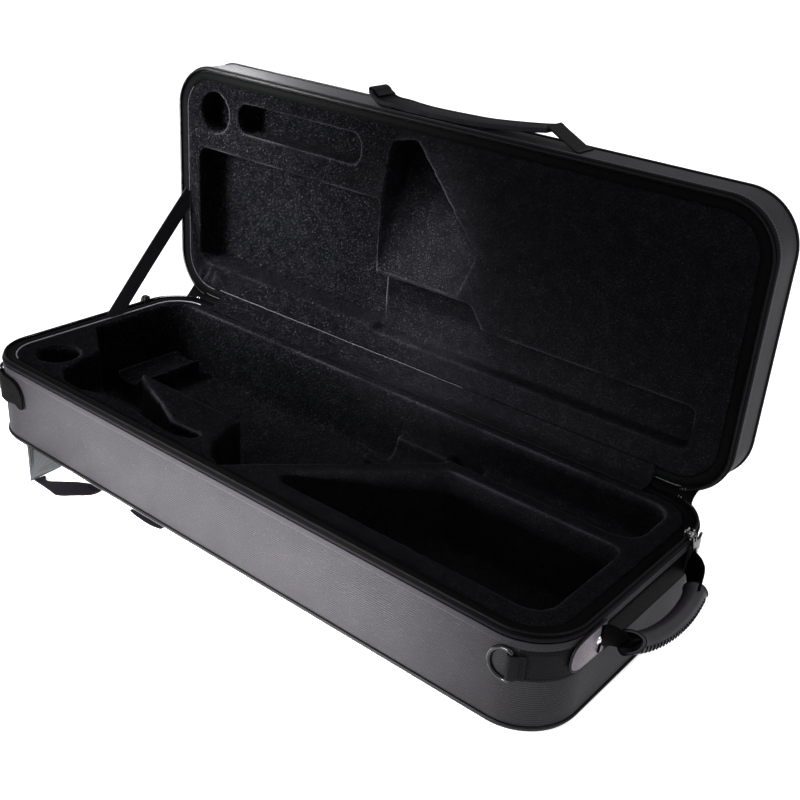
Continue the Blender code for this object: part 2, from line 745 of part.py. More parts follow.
def neck_block(plush, rebate):
    """The front left block, with the mouthpiece pocket and the bay for the neck."""
    end = LEFT_SPLIT_SHARE * INNER_WIDTH - CLEARANCE
    foot = DIVIDER_FOOT_SHARE * INNER_LENGTH - 2 * CLEARANCE
    outer = [(-INNER_LENGTH, end), (-INNER_LENGTH, -INNER_WIDTH), (foot, -INNER_WIDTH)]
    radii = [0, INNER_RADIUS, 0]
    outer += [plan(s) for s in BELL_CURVE_SHARES]
    radii += [NECK_BAY_RADIUS] * (len(BELL_CURVE_SHARES) - 1) + [0]
    outer += [plan(s) for s in MOUND_SHARES]
    radii += [0] * len(MOUND_SHARES)
    outline = rounded_polygon(outer, radii)
    neck = prism("neck_block", outline, BLOCK_LOW, BLOCK_TOP, plush)
    top = BLOCK_TOP + OVERRUN
    bay = rounded_polygon([plan(s) for s in NECK_BAY_SHARES], NECK_BAY_RADIUS)
    cut(neck, prism("neck_bay_cutter", bay, NECK_BAY_HEIGHT, top))
    pocket = round_outline(plan(MOUTHPIECE_SHARE), MOUTHPIECE_RADIUS)
    cut(neck, prism("mouthpiece_cutter", pocket, MOUTHPIECE_HEIGHT, top))
    cut(neck, rebate)


def saddles(plush):
    """The two blocks that carry the body tube and the bow in the main cavity."""
    low = CHANNEL_FRONT_SHARE * INNER_WIDTH
    high = LEDGE_SHARE * INNER_WIDTH - CLEARANCE
    left, right = (share * INNER_LENGTH for share in TUBE_REST_SHARES)
    outline = rounded_polygon(
        box_outline(left, right, low, high), [REST_CORNER_RADIUS, REST_CORNER_RADIUS, 0, 0]
    )
    rest = prism("tube_rest", outline, BLOCK_LOW, TUBE_REST_HEIGHT, plush)
    centre = ((left + right) / 2, (low + high) / 2, CHANNEL_LEDGE_HEIGHT)
    length = right - left + OVERRUN
    cut(rest, cylinder("tube_rest_groove", centre, (1, 0, 0), GROOVE_RADIUS, length))

    left, right = (share * INNER_LENGTH for share in BOW_REST_SHARES)
    low = BOW_REST_FRONT_SHARE * INNER_WIDTH
    high = BOW_REST_BACK_SHARE * INNER_WIDTH
    outline = rounded_polygon(box_outline(left, right, low, high), REST_CORNER_RADIUS)
    bow = prism("bow_rest", outline, BLOCK_LOW, BOW_REST_HEIGHT, plush)
    level = BOW_REST_HEIGHT - BOW_GROOVE_DEPTH + BOW_GROOVE_RADIUS
    centre = ((left + right) / 2, (low + high) / 2, level)
    length = high - low + OVERRUN
    cut(bow, cylinder("bow_rest_groove", centre, (0, 1, 0), BOW_GROOVE_RADIUS, length))


def lid_shell_set(nylon, board, piping, plush):
    """The lid's covers, piping, shell, rim and the plush sheet under its foam."""
    pieces = []
    top = prism(
        "lid_top_cover",
        case_outline(0),
        LID_TOP - SKIRT,
        LID_TOP,
        nylon,
        fillet=COVER_FILLET,
        fillet_top=True,
    )
    hollow = case_outline(COVER)
    hollow_cutter = prism("lid_cover_hollow", hollow, LID_TOP - SKIRT - OVERRUN, LID_TOP - COVER)
    cut(top, hollow_cutter)
    cord = [(x, y, LID_TOP - PIPING_HEIGHT) for x, y in case_outline(-PIPING_OUTSET)]
    cover = [case_outline(0), case_outline(COVER)]
    shell = prism(
        "lid_shell",
        case_outline(SHELL_INSET),
        LID_EDGE,
        LID_TOP - SHELL_INSET,
        board,
        fillet=SHELL_FILLET,
        fillet_top=True,
    )
    hollow = case_outline(SHELL_INSET + SHELL)
    shell_cutter = prism("lid_shell_hollow", hollow, LID_EDGE - OVERRUN, LID_SHELL_FLOOR)
    cut(shell, shell_cutter)
    inner = RIM_BAND_INSET + RIM_BAND_WIDTH
    band = [case_outline(RIM_BAND_INSET), case_outline(inner)]
    tape = rim_strip(TAPE_INSET, TAPE)
    chain = rim_strip(CHAIN_INSET, CHAIN)
    pieces += [
        top,
        hollow_cutter,
        wire("lid_piping", cord, PIPING_RADIUS, piping, True),
        plate("lid_wall_cover", cover, LID_EDGE, LID_TOP - WALL_LOW, nylon),
        shell,
        shell_cutter,
        plate("lid_rim_band", band, LID_RIM - RIM_BAND, LID_RIM, piping),
        prism("lid_zip_tape", tape, LID_TAPE_LOW, LID_RIM, piping),
        prism("lid_zip_chain", chain, LID_CHAIN_TOP - CHAIN_HEIGHT, LID_CHAIN_TOP, piping),
        prism(
            "lid_back_pad",
            case_outline(INSERT_INSET),
            LID_PAD_LOW,
            LID_SHELL_FLOOR - CLEARANCE,
            plush,
        ),
    ]
    return pieces


def lid_left_foam(plush, rebate):
    """The left block of the lid's foam: body recess, neck slot and mouthpiece pocket."""
    split = LID_SPLIT_SHARE * INNER_LENGTH
    left, front, back = BODY_RECESS_SHARES
    outer = [
        (split, -INNER_WIDTH),
        (split, front * INNER_WIDTH),
        (left * INNER_LENGTH, front * INNER_WIDTH),
        (left * INNER_LENGTH, back * INNER_WIDTH),
        (split, back * INNER_WIDTH),
        (split, INNER_WIDTH),
        (-INNER_LENGTH, INNER_WIDTH),
        (-INNER_LENGTH, -INNER_WIDTH),
    ]
    radii = [0, 0, BODY_RECESS_RADIUS, BODY_RECESS_RADIUS, 0, 0, INNER_RADIUS, INNER_RADIUS]
    outline = rounded_polygon(outer, radii, ARC_STEPS)
    foam = prism("lid_foam_left", outline, LID_FACE, LID_BLOCK_TOP, plush)
    low = LID_FACE - OVERRUN
    floor = LID_FACE + LID_POCKET_DEPTH
    circle = round_outline(plan(LID_MOUTHPIECE_SHARE), MOUTHPIECE_RADIUS)
    pocket = prism("lid_mouthpiece_cutter", circle, low, floor)
    x_low, x_high, y_low, y_high = NECK_SLOT_SHARES
    corners = [plan(s) for s in box_outline(x_low, x_high, y_low, y_high)]
    slot = prism("lid_neck_cutter", rounded_polygon(corners, NECK_SLOT_RADIUS), low, floor)
    cut(foam, pocket)
    cut(foam, slot)
    cut(foam, rebate)
    return [foam, pocket, slot]


def grown(points, amount):
    """An outline moved outwards from its own middle line by mitring, or inwards if negative."""
    moved = []
    for index, point in enumerate(points):
        here = Vector(point)
        back = (here - Vector(points[index - 1])).normalized()
        ahead = (Vector(points[(index + 1) % len(points)]) - here).normalized()
        normal = (Vector((back.y, -back.x)) + Vector((ahead.y, -ahead.x))).normalized()
        stretch = normal.dot(Vector((ahead.y, -ahead.x)))
        moved.append(tuple(here + normal * (amount / stretch)))
    return moved


def lid_right_foam(plush, rebate):
    """The right block of the lid's foam, with the bell pocket, its ramp and the long recess."""
    split = LID_SPLIT_SHARE * INNER_LENGTH + CLEARANCE
    recess = [plan(s) for s in LONG_RECESS_SHARES]
    outer = [
        (split, -INNER_WIDTH),
        (INNER_LENGTH, -INNER_WIDTH),
        (INNER_LENGTH, INNER_WIDTH),
        (split, INNER_WIDTH),
        (split, recess[0][1]),
        *recess,
        (split, recess[3][1]),
    ]
    round_end = [LONG_RECESS_RADIUS] * len(recess)
    radii = [0, INNER_RADIUS, INNER_RADIUS, 0, 0, *round_end, 0]
    outline = rounded_polygon(outer, radii, ARC_STEPS)
    pocket_corners = [plan(s) for s in BELL_POCKET_SHARES]
    hole = rounded_polygon(pocket_corners, BELL_POCKET_RADIUS)
    foam = plate("lid_foam_right", [outline, hole], LID_FACE, LID_BLOCK_TOP, plush)
    cut(foam, rebate)

    corners = [
        (split, recess[0][1] - CLEARANCE),
        (recess[0][0] - CLEARANCE, recess[0][1] - CLEARANCE),
        (recess[1][0] - CLEARANCE, recess[1][1] + CLEARANCE),
        (recess[2][0], recess[2][1] + CLEARANCE),
        (recess[3][0], recess[3][1] + CLEARANCE),
        (split, recess[3][1] + CLEARANCE),
    ]
    fitted = rounded_polygon(corners, [0, *round_end, 0], ARC_STEPS)
    bottom = prism("lid_long_pad", fitted, LID_FACE + LONG_RECESS_DEPTH, LID_BLOCK_TOP, plush)

    far = BELL_RAMP_FAR_SHARE * INNER_WIDTH
    lip = BELL_POCKET_SHARES[0][1] * INNER_WIDTH
    ramp_outline = grown(hole, -CLEARANCE)
    ramp = prism("lid_bell_ramp", ramp_outline, LID_FACE + BELL_RAMP_LIP, LID_BLOCK_TOP, plush)
    beyond = block(
        "ramp_end_cutter",
        (-INNER_LENGTH, -INNER_WIDTH, LID_FACE - OVERRUN),
        (INNER_LENGTH, far, LID_BLOCK_TOP + OVERRUN),
    )
    rise = LID_BLOCK_TOP - BELL_RAMP_TOE - LID_FACE - BELL_RAMP_LIP
    slope = atan2(rise, lip - far)
    length = hypot(rise, lip - far)
    slant = block(
        "ramp_slope_cutter",
        (-INNER_LENGTH, -length - OVERRUN, -LID_DEPTH),
        (INNER_LENGTH, OVERRUN, 0),
    )
    turn_mesh(slant, Matrix.Rotation(-slope, 4, "X"))
    turn_mesh(slant, Matrix.Translation((0, lip, LID_FACE + BELL_RAMP_LIP)))
    cut(ramp, beyond)
    cut(ramp, slant)
    return [foam, bottom, ramp, beyond, slant]


def hinge_fabrics(nylon, plush, lid_pivot):
    """The outer gusset, the plush lining and the stay strap, which bend as the lid turns."""
    y = HALF_WIDTH + CLEARANCE + GUSSET / 2
    z = HINGE.z - CLEARANCE - GUSSET / 2
    bend = z - BASE_DEPTH + PLUSH_RISE
    path = [(y, BASE_DEPTH - PLUSH_RISE - GUSSET_ON_BASE + bend)]
    path += arc((y + bend, z - bend), bend, pi, pi / 2, ARC_STEPS // 2)
    path += [(HALF_WIDTH + GUSSET_ON_LID, z)]
    reach = GUSSET_SHARE * HALF_LENGTH
    gusset = ribbon("hinge_gusset", path, GUSSET, -reach, reach, nylon)
    stand = Matrix(((0, 0, 1, 0), (1, 0, 0, 0), (0, 1, 0, 0), (0, 0, 0, 1)))
    turn_mesh(gusset, stand)

    face = HINGE.y + LID_RIM - RIM_BAND - HINGE.z
    y = face - CLEARANCE - LINING / 2
    z = RIM_LOW + RIM_BAND + CLEARANCE + LINING / 2
    bend = ZIP_GAP
    start = HALF_WIDTH - LINING_ON_BASE
    path = [(start, z)]
    path += arc((y - bend, z + bend), bend, -pi / 2, 0, ARC_STEPS // 2)
    path += [(y, HINGE.z + LINING_ON_LID)]
    reach = LINING_SHARE * HALF_LENGTH
    lining = ribbon("hinge_lining", path, LINING, -reach, reach, plush)
    turn_mesh(lining, stand)

    middle = STAY_SHARE * HALF_WIDTH
    half = STAY_WIDTH / 2
    foot = RIM_LOW + RIM_BAND + CLEARANCE
    x_base = -HALF_LENGTH + STAY_BASE_INSET
    x_lid = -HALF_LENGTH + STAY_LID_INSET
    thick = STAY_TAB_THICKNESS / 2
    block(
        "stay_anchor_base",
        (x_base - thick, middle - half, foot),
        (x_base + thick, middle + half, foot + STAY_TAB),
        nylon,
    )
    head = LID_RIM - RIM_BAND - CLEARANCE
    anchor = block(
        "stay_anchor_lid",
        (x_lid - thick, middle - half, head - STAY_TAB),
        (x_lid + thick, middle + half, head),
        nylon,
    )
    z_low = foot + STAY_TAB + CLEARANCE
    y_lid = HINGE.y + (head - STAY_TAB - HINGE.z) - CLEARANCE
    z_lid = HINGE.z - (middle - HINGE.y)
    corners = [
        (x_base, middle - half, z_low),
        (x_base, middle + half, z_low),
        (x_lid, y_lid, z_lid - half),
        (x_lid, y_lid, z_lid + half),
    ]
    bm = bmesh.new()
    verts = [bm.verts.new(corner) for corner in corners]
    edges = [bm.edges.new((verts[k - 1], verts[k])) for k in range(len(verts))]
    bmesh.ops.contextual_create(bm, geom=edges)
    strap = add_object("stay_strap", mesh_from(bm, "stay_strap"), nylon)
    solidify = strap.modifiers.new("Solidify", "SOLIDIFY")
    solidify.thickness = STAY
    solidify.offset = 0
    hang(anchor, lid_pivot, HINGE)


def end_band_set(webbing, vinyl, nickel):
    """The webbing band round the right end, its two patches and their rivets."""
    ring_along = FLAT_HALF - RIGHT_RING_ANGLE * CORNER_RADIUS
    start = -FLAT_HALF - BAND_END_ANGLE * CORNER_RADIUS
    loop_edge = LOOP_RADIUS + CLEARANCE
    outline = wall_strip(start, ring_along - loop_edge, CLEARANCE, CLEARANCE + WEBBING)
    half = WEBBING_WIDTH / 2
    prism("end_band", outline, WEBBING_HEIGHT - half, WEBBING_HEIGHT + half, webbing)

    low = PATCH_HEIGHT - PATCH_TALL / 2
    high = PATCH_HEIGHT + PATCH_TALL / 2
    hinge_x = HALF_LENGTH + GRIP_OUT
    spots = (("front", FRONT_PATCH_SPAN, -1), ("back", BACK_PATCH_SPAN, 1))
    for name, (begin, end), side in spots:
        shape = rounded_polygon(box_outline(begin, end, low, high), PATCH_RADIUS)
        marks = stops(begin, end)[1:-1]
        patch = wrap(
            f"grip_patch_{name}", shape, PATCH_OUT, PATCH_OUT + PATCH, vinyl, around, marks
        )
        y = GRIP_CENTRE + side * (GRIP_HALF_SPAN + LOOP_OFFSET)
        place = (hinge_x, y, GRIP_AXIS_HEIGHT)
        bore = BARREL_RADIUS + CLEARANCE
        loop = cylinder(f"grip_loop_{name}", place, (0, 1, 0), bore + LOOP_WALL, LOOP_LENGTH)
        hole = cylinder(f"grip_bore_{name}", place, (0, 1, 0), bore, LOOP_LENGTH + OVERRUN)
        join(patch, loop)
        cut(patch, hole)
        x = HALF_LENGTH + PATCH_OUT + PATCH + CLEARANCE
        head = cylinder(
            f"grip_rivet_{name}",
            (x + RIVET / 2, y + side * RIVET_OFFSET, RIVET_HEIGHT),
            (1, 0, 0),
            RIVET_RADIUS,
            RIVET,
            nickel,
        )
        bevel = head.modifiers.new("Bevel", "BEVEL")
        bevel.width = RIVET / 3
        bevel.segments = 2


def grip_arc(angle, share=1.0):
    """A place along the grip's half ellipse, as (across, out) from its hinge line."""
    return (-GRIP_HALF_SPAN * share * cos(angle), GRIP_REACH * sin(angle))


def end_grip(vinyl, webbing):
    """The padded grip on the right end, its core strap and the barrels that it turns on."""
    place = Vector((HALF_LENGTH + GRIP_OUT, GRIP_CENTRE, GRIP_AXIS_HEIGHT))
    empty = pivot("end_grip_pivot", place, (0, GRIP_TILT, 0))
    stand = Matrix(((0, 1, 0, 0), (1, 0, 0, 0), (0, 0, 1, 0), (0, 0, 0, 1)))
    steps = 2 * ARC_STEPS
    path = [grip_arc(pi * k / steps) for k in range(steps + 1)]
    half = GRIP_STRAP_WIDTH / 2
    strap = ribbon("end_grip_strap", path, GRIP_STRAP, -half, half, webbing)
    for share, out in zip(GRIP_STRAP_TAPER_SHARES, (path[0][1], path[1][1])):
        for vert in strap.data.vertices:
            if abs(vert.co.y - out) < GRIP_STRAP:
                vert.co.z = share * half if vert.co.z > 0 else -share * half
    turn_mesh(strap, stand)
    for side, name in ((-1, "front"), (1, "back")):
        y = side * (GRIP_HALF_SPAN + LOOP_OFFSET)
        barrel = cylinder(f"barrel_{name}", (0, y, 0), (0, 1, 0), BARREL_RADIUS, BARREL_LENGTH)
        join(strap, barrel)
        barrel.parent = empty
    slot_half = half + CLEARANCE
    slot = ribbon("grip_slot", path, GRIP_STRAP + 2 * CLEARANCE, -slot_half, slot_half)
    turn_mesh(slot, stand)
    span = pi - 2 * GRIP_PAD_START
    turns = [GRIP_PAD_START + span * k / steps for k in range(steps + 1)]
    centre_line = [(out, across, 0) for across, out in map(grip_arc, turns)]
    pad = wire("end_grip_pad", centre_line, GRIP_PAD_RADIUS, vinyl, resolution=3)
    pad.data.shade_smooth()
    cut(pad, slot)
    for piece in (strap, pad, slot):
        piece.parent = empty


def ring_path():
    """Middle line of a D shaped ring: its bar on the z axis, its bow towards +x."""
    half = RING_TALL / 2 - RING_WIRE
    straight = RING_DEEP - RING_WIRE - half
    corner = RING_CORNER
    path = arc((corner, half - corner), corner, pi, pi / 2, 2)
    path += arc((straight, 0), half, pi / 2, -pi / 2, 2 * ARC_STEPS)
    path += arc((corner, corner - half), corner, -pi / 2, -pi, 2)
    return [(x, 0, z) for x, z in path]


def ring_loop(name, angle, centre_x, tail_sign, webbing):
    """The webbing loop that holds a ring's bar on a front corner, with its sewn tail."""
    axis = corner_place(centre_x, angle, RING_OUT)
    half = RING_LOOP_TALL / 2
    inner = RING_WIRE + CLEARANCE
    outline = round_outline(axis[:2], inner + RING_LOOP, ARC_STEPS)
    hole = round_outline(axis[:2], inner, ARC_STEPS)
    low = WEBBING_HEIGHT - half
    high = WEBBING_HEIGHT + half
    loop = plate(name, [outline, hole], low, high, webbing)
    if tail_sign:
        sweep = tail_sign * RING_TAIL / CORNER_RADIUS
        start = angle + tail_sign * inner / CORNER_RADIUS
        centre = (centre_x, -FLAT_HALF)
        near = CORNER_RADIUS + CLEARANCE
        outer = arc(centre, near + RING_LOOP + CLEARANCE, start, start + sweep, 4)
        back = arc(centre, near, start, start + sweep, 4)[::-1]
        tail = prism(f"{name}_tail", outer + back, low, high)
        join(loop, tail)
        bore = prism(f"{name}_bore", hole, low - OVERRUN, high + OVERRUN)
        cut(loop, bore)
    return loop


def corner_place(centre_x, angle, out):
    """A place on a front corner's arc, the given distance outside the wall."""
    reach = CORNER_RADIUS + out
    return Vector((centre_x + reach * cos(angle), -FLAT_HALF + reach * sin(angle), 0))


def strap_rings(webbing, metal, vinyl):
    """The two D rings on the front corners, with their loops and the left one's patch."""
    spots = (
        ("right", CORNER_X, RIGHT_RING_ANGLE, pi + radians(3)),
        ("left", -CORNER_X, LEFT_RING_ANGLE, LEFT_RING_ANGLE - pi / 2 - LEFT_RING_LEAN),
    )
    for name, centre_x, angle, heading in spots:
        place = corner_place(centre_x, angle, RING_OUT)
        place.z = WEBBING_HEIGHT
        empty = pivot(f"d_ring_{name}_pivot", place, (0, 0, heading))
        ring = wire(f"d_ring_{name}", ring_path(), RING_WIRE, metal, cyclic=True)
        ring.data.shade_smooth()
        ring.parent = empty
    ring_loop("ring_loop_right", RIGHT_RING_ANGLE, CORNER_X, 0, webbing)
    ring_loop("ring_loop_left", LEFT_RING_ANGLE, -CORNER_X, 1, webbing)

    begin, end = LEFT_PATCH_ANGLES
    wide = (end - begin) * CORNER_RADIUS
    half = LEFT_PATCH_TALL / 2
    shape = rounded_polygon(
        box_outline(0, wide, WEBBING_HEIGHT - half, WEBBING_HEIGHT + half),
        [0, half, half, 0],
        ARC_STEPS,
    )
    low = 2 * CLEARANCE + RING_LOOP + CLEARANCE

    def on_corner(along, out):
        spot = corner_place(-CORNER_X, begin + along / CORNER_RADIUS, out)
        return spot.x, spot.y

    marks = [wide * k / 4 for k in range(1, 4)]
    wrap("ring_patch_left", shape, low, low + PATCH, vinyl, on_corner, marks)


def zip_sliders(nickel):
    """A slider and its pull at the start of each short side."""
    for name, side in (("right", 1), ("left", -1)):
        mid = HINGE.z
        start = Vector((side * HALF_LENGTH, SLIDER_START, mid))
        carrier = pivot(f"zip_slider_{name}_start", start)
        if side < 0:
            carrier.rotation_euler = (0, 0, pi)
        low = BASE_DEPTH + SLIDER_LOW - mid
        half = SLIDER_LENGTH / 2
        outer_face = -CHAIN_INSET + CLEARANCE
        inner_face = -CHAIN_INSET - CHAIN - CLEARANCE
        shape = rounded_polygon(
            box_outline(-half, half, low, low + SLIDER_TALL), SLIDER_TALL / 4
        )
        stand = Matrix(((0, 0, 1, 0), (1, 0, 0, 0), (0, 1, 0, 0), (0, 0, 0, 1)))
        outer = prism(f"zip_slider_{name}", shape, outer_face, outer_face + SLIDER_OUTER, nickel)
        inner = prism(f"slider_inner_{name}", shape, inner_face - SLIDER_INNER, inner_face)
        neck_half = SLIDER_NECK_LENGTH / 2
        neck = block(
            f"slider_neck_{name}",
            (inner_face - SLIDER_INNER / 2, -neck_half, -SLIDER_NECK / 2),
            (outer_face + SLIDER_OUTER / 2, neck_half, SLIDER_NECK / 2),
        )
        turn_mesh(outer, stand)
        turn_mesh(inner, stand)
        face = outer_face + SLIDER_OUTER
        tall = BRIDGE_TALL / 2
        angles = [-pi / 2 + pi * k / ARC_STEPS for k in range(ARC_STEPS + 1)]
        bow = [(face + BRIDGE_REACH * cos(a), 0, tall * sin(a)) for a in angles]
        feet = [(face - SLIDER_OUTER / 2, 0, bow[0][2]), (face - SLIDER_OUTER / 2, 0, bow[-1][2])]
        bridge = wire(f"slider_bridge_{name}", [feet[0], *bow, feet[1]], BRIDGE_WIRE, None)
        for other in (inner, neck, bridge):
            join(outer, other)
            other.parent = carrier
        outer.parent = carrier

        hinge = pivot(f"zip_pull_{name}_pivot", (face + PULL_REACH, 0, 0), parent=carrier)
        hinge.rotation_euler = (0, -PULL_TILT, 0)
        wide = PULL_WIDTH / 2
        tag = rounded_polygon(
            box_outline(-wide, wide, PULL_BAR - PULL_LENGTH, PULL_BAR),
            [PULL_RADIUS, PULL_RADIUS, PULL_BAR, PULL_BAR],
        )
        slot_half = PULL_SLOT_WIDTH / 2
        slot = box_outline(-slot_half, slot_half, -PULL_BAR - PULL_SLOT, -PULL_BAR)
        pull = plate(f"zip_pull_{name}", [tag, slot], -PULL / 2, PULL / 2, nickel)
        turn_mesh(pull, stand)
        pull.parent = hinge


def carry_handle(vinyl, webbing, lid_pivot):
    """The flat handle on the lid's front wall, its end webs and their sewn feet."""
    low = LID_EDGE + CARRY_EDGE
    stand = Matrix(((1, 0, 0, 0), (0, -1, 0, -HALF_WIDTH), (0, 0, 1, 0), (0, 0, 0, 1)))
    middle = low + CARRY_WIDTH / 2
    web = CARRY_WEB_WIDTH / 2
    band = ribbon("carry_band", CARRY_PATH, CARRY, low, low + CARRY_WIDTH, vinyl)
    left = ribbon("carry_web_left", WEB_LEFT_PATH, CARRY_WEB, middle - web, middle + web, webbing)
    right = ribbon(
        "carry_web_right", WEB_RIGHT_PATH, CARRY_WEB, middle - web, middle + web, webbing
    )
    pieces = [band, left, right]
    for name, (start, end) in (("left", CARRY_FOOT_LEFT), ("right", CARRY_FOOT_RIGHT)):
        outline = box_outline(start, end, CLEARANCE, CLEARANCE + CARRY_WEB)
        foot = prism(f"carry_foot_{name}", outline, middle - web, middle + web, webbing)
        pieces.append(foot)
    for piece in pieces:
        turn_mesh(piece, stand)
        hang(piece, lid_pivot, HINGE)


def strap_ends(grey, webbing):
    """The strap tabs that stick out of the bottom seam, and the webbing that leaves them."""
    edge = HALF_WIDTH + CLEARANCE

    def on_floor(shares, side):
        points = [(x * HALF_LENGTH, side * (edge + y * TAB_REACH)) for x, y in shares]
        return points if side > 0 else points[::-1]

    for name, side in (("front", -1), ("back", 1)):
        prism(f"strap_tab_{name}", on_floor(TAB_SHARES, side), 0, TAB, grey)
        web = on_floor((*STRAP_OUTER_SHARES, *STRAP_INNER_SHARES), side)
        prism(f"strap_web_{name}", web, 0, STRAP, webbing)
        prism(f"strap_bend_{name}", on_floor(STRAP_BEND_SHARES, side), 0, STRAP, webbing)


def build():
    """Makes every piece, and swings the lid open."""
    clear_scene()
    nylon = material("ribbed_nylon", RIBBED_NYLON, 0.75)
    webbing = material("black_webbing", BLACK_NYLON, 0.7)
    plush = material("black_plush", BLACK_PLUSH, 0.95)
    board = material("foam_board", BOARD, 0.85)
    vinyl = material("grained_vinyl", VINYL, 0.5)
    nickel = material("nickel", NICKEL, 0.25, 1.0)
    metal = material("black_metal", BLACK_METAL, 0.3, 1.0)
    grey = material("strap_nylon", STRAP_GREY, 0.75)

    base_shell_set(nylon, board, webbing, plush)
    rebate = rim_rebate("base_rebate_cutter", BASE_DEPTH, BLOCK_TOP + OVERRUN)
    accessory_tray(plush, rebate)
    tube_cradle(plush, rebate)
    body_cradle(plush, rebate)
    neck_block(plush, rebate)
    saddles(plush)
    end_band_set(webbing, vinyl, nickel)
    end_grip(vinyl, webbing)
    strap_rings(webbing, metal, vinyl)
    zip_sliders(nickel)
    strap_ends(grey, webbing)

    lid_pivot = pivot("lid_hinge", HINGE, (-OPEN_ANGLE, 0, 0))
    pieces = lid_shell_set(nylon, board, webbing, plush)
    lid_rebate = rim_rebate("lid_rebate_cutter", LID_FACE - OVERRUN, LID_EDGE)
    pieces += [lid_rebate]
    pieces += lid_left_foam(plush, lid_rebate)
    pieces += lid_right_foam(plush, lid_rebate)
    for piece in pieces:
        hang(piece, lid_pivot, HINGE)
    hinge_fabrics(webbing, plush, lid_pivot)
    carry_handle(vinyl, webbing, lid_pivot)


build()
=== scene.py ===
"""Dresses a tenor saxophone case that stands open, with its zip, plush, webbing and grips.

All sizes are in metres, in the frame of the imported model: X along the case, Y to the hinge at the
back, Z up. What belongs to the lid is described shut and then turned open about the hinge line.
"""

from __future__ import annotations

import json
import logging
from dataclasses import dataclass, replace
from enum import Enum
from math import cos, hypot, pi, radians, sin, tau
from typing import Callable

import bmesh
import bpy
import numpy as np
from mathutils import Matrix, Vector, noise

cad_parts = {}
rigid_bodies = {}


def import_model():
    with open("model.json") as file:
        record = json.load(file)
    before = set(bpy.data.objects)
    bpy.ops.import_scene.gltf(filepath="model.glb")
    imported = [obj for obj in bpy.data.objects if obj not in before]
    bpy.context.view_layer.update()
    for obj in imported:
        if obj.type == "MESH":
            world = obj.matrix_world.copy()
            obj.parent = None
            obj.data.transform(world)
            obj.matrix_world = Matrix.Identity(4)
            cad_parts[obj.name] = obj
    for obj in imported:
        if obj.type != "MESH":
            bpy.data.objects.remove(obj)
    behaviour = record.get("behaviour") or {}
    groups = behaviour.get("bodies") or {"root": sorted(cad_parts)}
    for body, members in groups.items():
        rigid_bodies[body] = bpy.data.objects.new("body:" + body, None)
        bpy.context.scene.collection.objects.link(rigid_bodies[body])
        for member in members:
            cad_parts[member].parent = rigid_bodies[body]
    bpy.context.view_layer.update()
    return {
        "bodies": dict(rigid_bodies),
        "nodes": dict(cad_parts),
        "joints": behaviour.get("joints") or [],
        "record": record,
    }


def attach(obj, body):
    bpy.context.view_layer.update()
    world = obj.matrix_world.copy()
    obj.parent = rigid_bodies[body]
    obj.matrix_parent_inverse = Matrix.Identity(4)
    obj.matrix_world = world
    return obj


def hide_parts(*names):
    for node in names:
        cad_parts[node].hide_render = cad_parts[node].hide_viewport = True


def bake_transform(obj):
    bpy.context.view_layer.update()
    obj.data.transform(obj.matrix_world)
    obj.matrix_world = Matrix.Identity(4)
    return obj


LOG = logging.getLogger("case")

Pair = tuple[float, float]
Triple = tuple[float, float, float]
Colour = tuple[float, float, float, float]
Socket = bpy.types.NodeSocket
Drawn = tuple[Socket, Socket]
Piece = bpy.types.Object

UP = Vector((0.0, 0.0, 1.0))
SEED = 7
# turns cloth noise off the axes, so that its grid never lines up with a flat face
ASKEW: Triple = (0.5, 0.7, 0.3)


class Body(str, Enum):
    """The moving groups that a piece can ride on."""

    BASE = "base"
    LID = "lid"
    END_HANDLE = "end_handle"
    TOP_HANDLE = "top_handle"
    RIGHT_RING = "right_ring"
    LEFT_RING = "left_ring"


class Pattern(Enum):
    """What a finish shows from close by."""

    RIBS = "ribbed cloth"
    PILE = "plush pile"
    WEAVE = "strap weave"
    GRAIN = "leather grain"
    METAL = "brushed metal"


